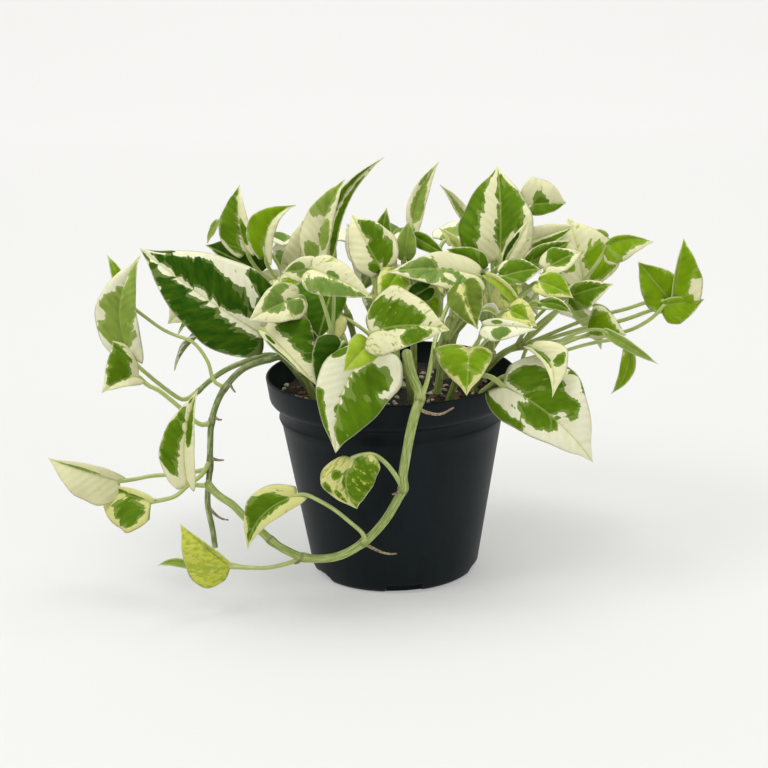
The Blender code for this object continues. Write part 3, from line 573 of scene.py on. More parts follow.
# %% Table of stems and leaves
# Each stem: where it stands in the soil (x, y), the points that it goes through, its radius at
# the foot and at its end, and its leaves. Crown stems are short and stand up from the soil.
STEMS = {
    "vine_hanging": dict(
        foot=(-48.0, -16.0), radius=(2.1, 1.7), knots=[
            (-64, 134, -20), (-74, 134, -26), (-85, 131, -30), (-92, 127, -32), (-99, 120, -34),
            (-105, 111, -36), (-109, 101, -38), (-111, 92, -39), (-112, 80, -40), (-113, 65, -41),
            (-115, 49, -42), (-115, 39, -43), (-113, 26, -44), (-112, 14, -45)],
        leaves=[
            leaf("far_left_low", 0.90, (-150, 45, -46), (-180, 57, -14), 27, -10, 14, 0.06,
                 [(-113, 70, -42), (-118, 62, -44), (-127, 55, -45), (-136, 48, -46)], lean=-0.65),
            leaf("far_left_cream", 0.72, (-169, 59, -28), (-212, 75, -30), 24, -12, 14, 0.08,
                 [(-112, 66, -41), (-128, 63, -36), (-148, 62, -31), (-160, 60, -28)], lean=-0.50),
            leaf("left_low", 0.55, (-153, 125, -35), (-176, 116, -60), 30, 8, 14, 0.12,
                 [(-110, 96, -39), (-115, 94, -40), (-120, 96, -40), (-130, 106, -38),
                  (-141, 116, -36), (-148, 120, -35)], bend=0.06, lean=0.60),
            leaf("left_behind", 0.40, (-156, 170, -16), (-168, 202, -8), 10, 10, 12, 0.08,
                 [(-101, 117, -35), (-108, 122, -33), (-111, 134, -28), (-119, 146, -22),
                  (-130, 151, -18), (-139, 156, -16)])]),
    "vine_left": dict(
        foot=(-50.0, 2.0), radius=(2.0, 1.5), knots=[
            (-62, 133, 0), (-74, 137, -3), (-86, 134, -8), (-99, 129, -12), (-110, 122, -16),
            (-118, 115, -20)],
        leaves=[
            leaf("left_upright", 1.0, (-158, 139, -30), (-148, 201, -14), 27, -8, 14, 0.06,
                 [(-118, 115, -20), (-124, 111, -22), (-129, 111, -23), (-137, 117, -25),
                  (-146, 125, -28), (-154, 133, -30)], bend=-0.14, lean=-0.14)]),
    "vine_front": dict(
        foot=(13.0, -50.0), radius=(3.1, 2.2), knots=[
            (10, 135, -66), (13, 122, -73), (17, 111, -80), (17, 106, -83), (14, 97, -86),
            (11, 85, -87), (8, 70, -86), (6, 58, -85), (6, 50, -84), (2, 42, -83), (-6, 29, -81),
            (-17, 17, -79), (-31, 8, -78), (-44, 5, -78), (-57, 6, -78), (-66, 10, -77),
            (-75, 16, -76), (-84, 25, -74), (-93, 34, -71), (-100, 42, -69), (-108, 48, -67),
            (-116, 57, -66)],
        leaves=[
            leaf("low_mottled", 0.62, (-103, 1, -76), (-133, 30, -80), 23, -10, 14, 0.08,
                 [(-57, 6, -78), (-65, 3, -78), (-78, 0, -77), (-90, 0, -76)], lean=-0.75),
            leaf("low_young", 0.62, (-127, 2, -68), (-149, 3, -62), 6, 0, 20, 0.04,
                 [(-92, 0, -76), (-100, 2, -71), (-109, 4, -69)], bend=0.10),
            leaf("front_marbled", 0.30, (-25, 70, -92), (-23, 37, -96), 34, 4, 8, 0.10,
                 [(6, 50, -84), (1, 59, -87), (-5, 67, -90), (-12, 72, -92), (-19, 72, -92)],
                 bend=0.16, lean=-0.10),
            leaf("front_drooping", 0.48, (-60, 47, -88), (-92, 12, -86), 21, 10, 14, 0.10,
                 [(-18, 14, -79), (-20, 21, -83), (-28, 29, -86), (-37, 37, -88), (-46, 43, -89),
                  (-54, 47, -88)], bend=0.14, lean=0.25),
            leaf("hanging_olive", 0.11, (45, 178, -44), (53, 150, -62), 24, 15, 16, 0.08,
                 [(18, 107, -83), (22, 118, -81), (25, 132, -72), (28, 146, -56), (36, 166, -46)]),
            leaf("left_folded", 1.0, (-127, 56, -68), (-118, 116, -60), 22, -12, 18, 0.05,
                 [(-114, 55, -66), (-119, 55, -68)], bend=-0.07, lean=-0.35)]),
    "stem_left_back": dict(
        foot=(-38.0, 14.0), top=(-52.0, 18.0, 150.0), radius=(2.4, 1.7), leaves=[
            leaf("upright_pair_left", 1.0, (-84, 201, 6), (-87, 242, 22), 20, -12, 16, 0.06,
                 bend=-0.06, lean=-0.33),
            leaf("upright_pair_right", 0.9, (-73, 197, 2), (-54, 229, 14), 19, -10, 14, 0.10,
                 bend=-0.20, lean=-0.40),
            leaf("dark_behind", 0.8, (-77, 188, 14), (-109, 206, 22), 21, 10, 10, 0.06, lean=0.50),
            leaf("inner_far_left", 0.5, (-66, 184, 6), (-56, 160, -14), 25, 10, 10, 0.10),
            leaf("edge_left", 0.7, (-101, 220, 26), (-108, 207, 28), 6, 40, 10, 0.05)]),
    "stem_left": dict(
        foot=(-46.0, -28.0), top=(-56.0, -34.0, 138.0), radius=(2.6, 1.8), leaves=[
            leaf("large_left", 1.0, (-77, 150, -46), (-148, 205, -40), 53, 8, 8, 0.06,
                 bend=-0.03, lean=0.13),
            leaf("behind_large", 0.8, (-108, 182, -14), (-134, 158, -16), 26, 0, 10, 0.05),
            leaf("pale_rim", 0.9, (-54, 173, -50), (-85, 159, -64), 25, 15, 10, 0.08, lean=-0.05),
            leaf("low_lying_left", 0.6, (-76, 153, -56), (-46, 118, -80), 27, -8, 10, 0.08, lean=-0.65)]),
    "stem_left_front": dict(
        foot=(-30.0, -40.0), top=(-36.0, -46.0, 142.0), radius=(2.4, 1.7), leaves=[
            leaf("white_end", 0.9, (-42, 190, -50), (-64, 188, -46), 16, 0, 10, 0.06),
            leaf("lying_yellow", 1.0, (-46, 190, -44), (-10, 171, -68), 25, -12, 12, 0.10, lean=0.12),
            leaf("mid_green", 0.8, (-34, 178, -38), (-44, 145, -58), 32, 0, 10, 0.08, lean=0.35),
            leaf("dark_left", 0.6, (-69, 152, -46), (-38, 139, -56), 15, -10, 10, 0.06, lean=-0.50),
            leaf("dark_front", 0.5, (-29, 143, -62), (-46, 118, -76), 24, 0, 10, 0.08, lean=0.15)]),
    "stem_back_left": dict(
        foot=(-18.0, 18.0), top=(-26.0, 16.0, 160.0), radius=(2.4, 1.7), leaves=[
            leaf("tall_curved", 1.0, (-37, 194, 0), (0, 256, 14), 13, 25, 22, -0.08, bend=-0.13),
            leaf("tall_upright", 0.9, (-42, 194, -12), (-24, 244, 2), 19, 0, 14, 0.06,
                 bend=-0.08, lean=-0.35),
            leaf("cream_upright", 0.8, (-55, 181, 2), (-50, 220, 14), 15, 8, 12, 0.06, lean=-0.60)]),
    "stem_centre": dict(
        foot=(-4.0, -10.0), top=(-4.0, -16.0, 156.0), radius=(2.5, 1.7), leaves=[
            leaf("centre_upright", 1.0, (-4, 189, -26), (-21, 222, -8), 30, -8, 12, 0.08, lean=0.12),
            leaf("centre_behind", 0.9, (-12, 193, -6), (-24, 217, 0), 20, 12, 10, 0.06),
            leaf("centre_tip", 0.8, (-7, 195, 2), (0, 226, 6), 14, 0, 10, 0.06),
            leaf("inner_left", 0.5, (-32, 160, 12), (-35, 141, -4), 14, -5, 10, 0.08),
            leaf("yellow_green", 0.7, (6, 186, -28), (-6, 166, -46), 19, 10, 14, 0.10)]),
    "stem_front": dict(
        foot=(-10.0, -44.0), top=(-10.0, -54.0, 136.0), radius=(2.6, 1.8), leaves=[
            leaf("front_large", 0.8, (-14, 137, -70), (-35, 74, -98), 46, 0, 8, 0.09,
                 bend=0.11, lean=-0.25),
            leaf("small_yellow", 0.9, (-13, 143, -78), (-29, 125, -98), 19, 0, 12, 0.10),
            leaf("marbled_front", 1.0, (-12, 149, -60), (36, 150, -76), 39, -16, 8, 0.10,
                 bend=-0.05, lean=-0.18)]),
    "stem_centre_back": dict(
        foot=(14.0, 22.0), top=(16.0, 20.0, 160.0), radius=(2.3, 1.6), leaves=[
            leaf("slim_upright", 1.0, (15, 213, 8), (32, 253, 20), 12, 12, 18, -0.03, bend=-0.08),
            leaf("centre_small", 0.8, (10, 195, -6), (13, 218, -2), 13, 0, 12, 0.05),
            leaf("olive", 0.9, (16, 208, 2), (35, 196, -6), 10, 0, 10, 0.06),
            leaf("inner_middle", 0.6, (6, 178, 34), (-6, 152, 18), 30, 0, 10, 0.10),
            leaf("inner_right", 0.5, (18, 178, 8), (26, 148, -8), 30, 8, 10, 0.10),
            leaf("thin_curl", 0.7, (51, 210, 20), (32, 239, 22), 9, 20, 18, -0.06, bend=0.07)]),
    "stem_middle": dict(
        foot=(28.0, -14.0), top=(34.0, -20.0, 150.0), radius=(2.4, 1.7), leaves=[
            leaf("lying_centre", 1.0, (54, 183, -30), (0, 187, -48), 28, 30, 8, 0.10, lean=-0.15),
            leaf("bright_small", 0.9, (56, 186, -20), (35, 200, -14), 15, 0, 12, 0.06, lean=0.35),
            leaf("dark_small", 0.8, (25, 177, -32), (8, 168, -36), 14, 0, 10, 0.05)]),
    "stem_right_back": dict(
        foot=(34.0, 20.0), top=(46.0, 20.0, 160.0), radius=(2.6, 1.8), leaves=[
            leaf("big_upright", 1.0, (67, 193, -4), (66, 249, 20), 46, 0, 12, 0.08, bend=0.02, lean=-0.12),
            leaf("right_behind", 0.9, (82, 225, 16), (107, 226, 30), 24, -12, 12, 0.08, lean=-0.38),
            leaf("dark_sliver", 0.8, (71, 192, -14), (85, 217, -8), 10, 15, 12, 0.05),
            leaf("inner_far_right", 0.5, (62, 178, 2), (80, 160, -10), 28, -15, 10, 0.10),
            leaf("pale_tip", 0.7, (44, 199, 12), (31, 213, 16), 7, 20, 12, 0.05)]),
    "stem_front_right": dict(
        foot=(34.0, -40.0), top=(42.0, -48.0, 134.0), radius=(2.5, 1.7), leaves=[
            leaf("drooping_front", 0.9, (48, 138, -58), (46, 109, -90), 35, 0, 12, 0.12, lean=0.20),
            leaf("large_low_right", 0.6, (68, 114, -60), (123, 64, -84), 49, -6, 8, 0.08,
                 [(44, 117, -48), (50, 121, -52), (56, 121, -57), (62, 119, -60)], bend=-0.06, lean=-0.22),
            leaf("white_pointed", 1.0, (57, 152, -62), (89, 149, -76), 14, -15, 12, 0.08, lean=0.40),
            leaf("cream_round", 0.8, (72, 161, -50), (89, 151, -62), 19, -20, 12, 0.10),
            leaf("curled_white", 0.7, (67, 156, -44), (52, 159, -50), 7, 20, 20, 0.10, bend=0.30)]),
    "stem_right": dict(
        foot=(50.0, -10.0), top=(62.0, -14.0, 140.0), radius=(2.5, 1.7), leaves=[
            leaf("dark_right", 0.9, (68, 182, -26), (92, 186, -22), 19, -30, 12, 0.08),
            leaf("cream_right", 0.8, (90, 178, -28), (111, 168, -40), 19, -28, 12, 0.10),
            leaf("curved_folded", 1.0, (60, 183, -44), (82, 154, -50), 8, 15, 24, 0.10, bend=-0.13),
            leaf("hooked", 0.7, (91, 165, -42), (111, 157, -46), 8, 0, 14, 0.08, bend=-0.14)]),
    "stem_right_high": dict(
        foot=(44.0, 4.0), top=(66.0, 4.0, 146.0), radius=(2.5, 1.7), leaves=[
            leaf("long_cream", 1.0, (80, 202, 4), (112, 212, 12), 15, 0, 14, 0.06),
            leaf("long_green", 0.9, (84, 190, -6), (110, 203, 0), 14, 0, 14, 0.06),
            leaf("oval_rim", 0.8, (94, 186, -14), (116, 196, -6), 19, -30, 12, 0.08),
            leaf("dark_margin", 0.7, (109, 169, -20), (135, 176, -34), 18, -10, 10, 0.08, lean=0.25)]),
    "stem_right_fan": dict(
        foot=(54.0, 12.0), top=(84.0, 10.0, 138.0), radius=(2.6, 1.8), leaves=[
            leaf("folded_high", 1.0, (117, 178, -4), (108, 217, 12), 43, 25, 18, 0.06, lean=0.12),
            leaf("arched_right", 0.9, (131, 199, 10), (159, 201, -4), 18, -8, 14, 0.14,
                 bend=-0.08, lean=0.60),
            leaf("small_high", 0.8, (131, 204, 18), (117, 207, 20), 9, 20, 12, 0.06),
            leaf("far_right", 1.0, (172, 163, -15), (177, 203, -12), 19, -6, 14, 0.08,
                 [(83, 140, 10), (118, 154, 3), (142, 160, -3), (160, 165, -11)], lean=0.75),
            leaf("far_right_low", 0.9, (166, 162, -14), (190, 165, -22), 17, 0, 12, 0.08,
                 [(82, 138, 10), (120, 144, -2), (142, 146, -8), (157, 153, -12)], lean=0.50),
            leaf("far_right_inner", 0.8, (171, 163, -10), (150, 189, -10), 26, 0, 12, 0.06,
                 [(83, 139, 10), (118, 149, 0), (140, 153, -4), (158, 159, -8)])]),
    "stem_right_low": dict(
        foot=(54.0, -26.0), top=(80.0, -34.0, 130.0), radius=(2.4, 1.6), leaves=[
            leaf("cream_hanging", 0.9, (85, 138, -58), (98, 106, -84), 17, -5, 12, 0.08,
                 bend=-0.18, lean=-0.50),
            leaf("bright_right", 1.0, (121, 145, -20), (143, 144, -34), 20, -8, 12, 0.08, lean=-0.70),
            leaf("slim_right", 1.0, (131, 146, -30), (163, 125, -32), 7, 0, 16, 0.04),
            leaf("small_hanging", 0.8, (145, 135, -18), (134, 107, -20), 10, 0, 14, 0.04, bend=-0.12)]),
}
in_photo = sum(len(stem["leaves"]) for stem in STEMS.values())
print("stems in the photograph:", len(STEMS), "with", in_photo, "leaves")

# %% [markdown]
# ## The stems at the back
# The back of the plant isn't seen in the photograph. Its stems could be copies of the front ones, but a
# plant doesn't repeat itself. So one fan of five leaves is laid about each back stem, and a seeded draw
# varies the fan from stem to stem.

# %% Table of back stems
# Where each stands, where its top leans, and which way it heads, in degrees from +X towards +Y.
BACK_STEMS = {
    "stem_back_far_left": ((-46.0, 28.0), (-70.0, 50.0, 146.0), 152.0),
    "stem_back_middle_left": ((-24.0, 46.0), (-38.0, 70.0, 148.0), 121.0),
    "stem_back_middle": ((4.0, 52.0), (4.0, 78.0, 150.0), 90.0),
    "stem_back_right": ((28.0, 46.0), (44.0, 68.0, 148.0), 59.0),
    "stem_back_far_right": ((48.0, 34.0), (80.0, 46.0, 146.0), 28.0),
}
BACK_RADIUS = (2.4, 1.6)

# The fan: across the stem's heading in degrees, how far out and up the blade's base lies from the
# stem's top, and how steeply the blade dips.
BACK_FAN = (
    (-21.0, 34.0, 12.0, -0.75),
    (0.0, 22.0, 34.0, -0.50),
    (20.0, 32.0, 16.0, -0.70),
    (-10.0, -12.0, 46.0, -0.10),
    (9.0, 40.0, -4.0, -0.95),
)
BACK_SEED = 11
BACK_LENGTH = (42.0, 54.0)
BACK_WIDTH = 0.66
BACK_JOIN = 0.6
BACK_JOIN_STEP = 0.08
BACK_FOLD = 10.0
BACK_ARCH = 0.10
BACK_FACES_UP = 1.3


def back_leaves(top, heading):
    """A fan of leaves about a back stem's heading, with small seeded differences."""
    draw = random.Random(BACK_SEED + int(heading))
    rows = []
    for k, (across, reach, lift, dip) in enumerate(BACK_FAN):
        way = radians(heading + across + draw.uniform(-3, 3))
        out = np.array((cos(way), sin(way), 0.0))
        base = np.array(top) + out * reach + np.array((0.0, 0.0, lift + draw.uniform(-4, 4)))
        length = draw.uniform(*BACK_LENGTH)
        tip = base + unit(out + np.array((0.0, 0.0, dip))) * length
        rows.append(Leaf(f"back_{k}", BACK_JOIN + BACK_JOIN_STEP * k, base, tip, length * BACK_WIDTH,
                         draw.uniform(-20, 20), BACK_FOLD, BACK_ARCH, [], 0.0, 0.0,
                         out + np.array((0.0, 0.0, BACK_FACES_UP))))
    return rows


stems = dict(STEMS)
for name, (foot, top, heading) in BACK_STEMS.items():
    stems[name] = dict(foot=foot, top=top, radius=BACK_RADIUS, leaves=back_leaves(top, heading))
print("stems in all:", len(stems))

# %% [markdown]
# ## Directions and paths
# The solids were placed by these same rules, in millimetres. A leaf has three directions: ahead along its
# rib, out of its upper face, and to its right. A vine is a smooth curve through the points of its row, and
# a leaf's stalk is a curve with four handles, as in a drawing program, or a smooth curve where the row has
# points for it.

# %% Directions and paths
KNOT_STEPS = 16
ABOVE_SOIL = 4.0
CROWN_BOW = 4.0
CROWN_RINGS = 5
# The stalk's two middle handles: how far out from the stem and in from the blade, as shares of the way
# between them. It comes to the blade from behind and from below, and a bow moves the second handle less.
HANDLE_OUT = 0.35
HANDLE_IN = 0.28
FROM_BEHIND = 0.7
FROM_BELOW = 0.6
BOW_KEPT = 0.6


def leaf_axes(row):
    """The directions of a leaf: ahead along its rib, out of its upper face, and to its right."""
    ahead = unit(row.tip - row.base)
    face = unit(row.toward - ahead * ahead.dot(row.toward))
    side = np.cross(ahead, face)
    angle = radians(row.turn)
    return ahead, face * cos(angle) + side * sin(angle), side * cos(angle) - face * sin(angle)


def length_along(path):
    """The distance along a path to each of its points."""
    return np.concatenate(([0.0], np.cumsum(np.linalg.norm(np.diff(path, axis=0), axis=1))))


def smooth_path(knots, count):
    """`count` points along a Catmull-Rom curve through the knots, evenly spaced by length."""
    knots = np.asarray(knots, float)
    ends = np.vstack((2 * knots[0] - knots[1], knots, 2 * knots[-1] - knots[-2]))
    t = np.linspace(0.0, 1.0, KNOT_STEPS, endpoint=False)[:, None]
    dense = []
    for i in range(len(knots) - 1):
        a, b, c, d = ends[i:i + 4]
        dense.append(0.5 * (2 * b + (c - a) * t + (2 * a - 5 * b + 4 * c - d) * t ** 2
                            + (3 * b - a - 3 * c + d) * t ** 3))
    dense = np.vstack(dense + [knots[-1:]])
    run = length_along(dense)
    want = np.linspace(0.0, run[-1], count)
    return np.stack([np.interp(want, run, dense[:, k]) for k in range(3)], axis=1)


def stem_knots(stem):
    """The points a stem goes through above the soil, and how many rings its solid has there."""
    start = np.array((*stem["foot"], SOIL_TOP + ABOVE_SOIL))
    if "knots" in stem:
        above = [seen(*knot) for knot in stem["knots"]]
        return [start] + above, 5 * len(above) // 4 + 4
    end = np.array(stem["top"])
    return [start, (start + end) / 2 + np.array((0, 0, CROWN_BOW)), end], CROWN_RINGS


def stalk_curve(row, start, bow, count):
    """The petiole's line: a curve from the stem, up and out, to the blade's base from its underside."""
    if row.stalk:
        return smooth_path(row.stalk + [row.base], count)
    ahead, face, _ = leaf_axes(row)
    length = np.linalg.norm(row.base - start)
    out = unit(unit(row.base - start) + np.array((0.0, 0.0, 1.0)))
    first = start + out * length * HANDLE_OUT + bow
    second = row.base - unit(ahead * FROM_BEHIND + face * FROM_BELOW) * length * HANDLE_IN + bow * BOW_KEPT
    t = np.linspace(0.0, 1.0, count)[:, None]
    return ((1 - t) ** 3 * start + 3 * (1 - t) ** 2 * t * first
            + 3 * (1 - t) * t ** 2 * second + t ** 3 * row.base)


front_vine = smooth_path(*stem_knots(stems["vine_front"]))
print("the front vine is", round(length_along(front_vine)[-1]), "mm long above the soil")

# %% [markdown]
# ## Finding each leaf in its solid
# Where two leaves met, the solids were bent clear: a leaf was stepped along the line of sight, or its
# stalk was bowed aside. The table doesn't say by how much, but the frame's own corners do. Each try says
# where the blade's tip and the last ring but one of the stalk would have corners, and the try whose corners
# lie on corners of the solid is the right one.

# %% Match a leaf to its solid
BLADE = 0.8
STALK_RINGS = 5
STALK_LEAST = 0.95
STALK_SHARE = 0.0125
STALK_TAPER = 1.3
STALK_SET_IN = 0.25
SHIFTS = 12
SHIFT_STEP = 2.0
BOWS = (7.0, 14.0, 22.0)
BOW_RISE = 0.25
GOOD_MATCH = 0.1


def corners_of(node):
    """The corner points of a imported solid, in millimetres."""
    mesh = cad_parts[node].data
    points = np.empty(len(mesh.vertices) * 3, np.float32)
    mesh.vertices.foreach_get("co", points)
    return points.reshape(-1, 3).astype(float) / MM


def miss(middle, rise, solid):
    """How far a pair of points, above and below a middle, is from the nearest corners of a solid."""
    pair = np.stack((middle + rise, middle - rise))
    return np.linalg.norm(pair[:, None] - solid[None], axis=2).min(axis=1).mean()


def settled(row, start, solid):
    """The leaf and its stalk's bow as they are in the solid, and by how much the corners miss."""
    if row.stalk:
        return row, np.zeros(3), 0.0
    tries = []
    for shift in SHIFT_STEP * np.arange(-SHIFTS, SHIFTS + 1):
        moved = row._replace(base=row.base + (row.base - EYE) * shift / (row.base - EYE)[1],
                             tip=row.tip + (row.tip - EYE) * shift / (row.tip - EYE)[1])
        tries.append((miss(moved.tip, leaf_axes(moved)[1] * BLADE / 2, solid), moved))
    off, moved = min(tries, key=lambda one: one[0])
    face = leaf_axes(moved)[1]
    radius = STALK_LEAST + row.width * STALK_SHARE
    near_blade = np.linspace(radius * STALK_TAPER, radius, STALK_RINGS)[-2]
    bows = [np.zeros(3)] + [size * np.array((cos(k * pi / 3), sin(k * pi / 3), BOW_RISE * (-1) ** k))
                            for size in BOWS for k in range(6)]
    found = []
    for bow in bows:
        path = stalk_curve(moved, start, bow, STALK_RINGS)
        way = unit(np.gradient(path, axis=0)[-2])
        rise = unit(face - way * way.dot(face))
        found.append((miss(path[-2], near_blade * rise, solid), bow))
    worst, bow = min(found, key=lambda one: one[0])
    return moved, bow, max(off, worst)


# %% Match them all
misses = {}
for name, stem in stems.items():
    path = smooth_path(*stem_knots(stem))
    solid = corners_of(name)
    stem["found"] = []
    for row in stem["leaves"]:
        at = 1 + (len(path) - 2 - STALK_SET_IN) * row.join
        start = path[int(at)] + (path[int(at) + 1] - path[int(at)]) * (at - int(at))
        moved, bow, off = settled(row, start, solid)
        stem["found"].append((moved, bow, start))
        misses[f"{name}/{row.name}"] = off
print("leaves:", len(misses), "placed to", round(float(np.median(list(misses.values()))), 4), "mm")
print("off by more:", {key: round(off, 2) for key, off in misses.items() if off > GOOD_MATCH})

# %% [markdown]
# ## How each leaf is painted
# This plant is a variegated pothos: each leaf is cream with green islands, and no two are alike. The
# islands could be painted as pictures, but ovals in the leaf's own coordinates, across from -1 to 1 and
# along from 0 to 1, need no picture and follow the blade however it bends. Cream ovals are cut out of them
# where needed, and the material later gives them their jagged, feathered outline. The rest of a row is the
# leaf's green, its cream, how flecked it is, and how far its edge waves. A leaf at the back, which the
# photograph doesn't show, draws its islands at random.

# %% Table of paints
TONES = {"dark": "#244a02", "deep": "#3d6308", "mid": "#54760c", "slate": "#6b863c", "grey": "#869d44",
         "bright": "#76980c", "yellow": "#9cb532", "olive": "#66792a"}
CREAMS = {"ivory": "#e9e8cb", "cream": "#e2e0b4", "yellow": "#d3d286", "white": "#eeeddf", "lime": "#c4ca48"}
WHOLE = [(0, .5, 1.4, .9)]
Look = namedtuple("Look", "deep pale green cream flecks wave")


def paint(tone, green, cream=(), pale="ivory", flecks=0.25, wave=0.12):
    """One leaf's look: ovals are (across, along, half across, half along)."""
    return Look(TONES[tone], CREAMS[pale], green, cream, flecks, wave)


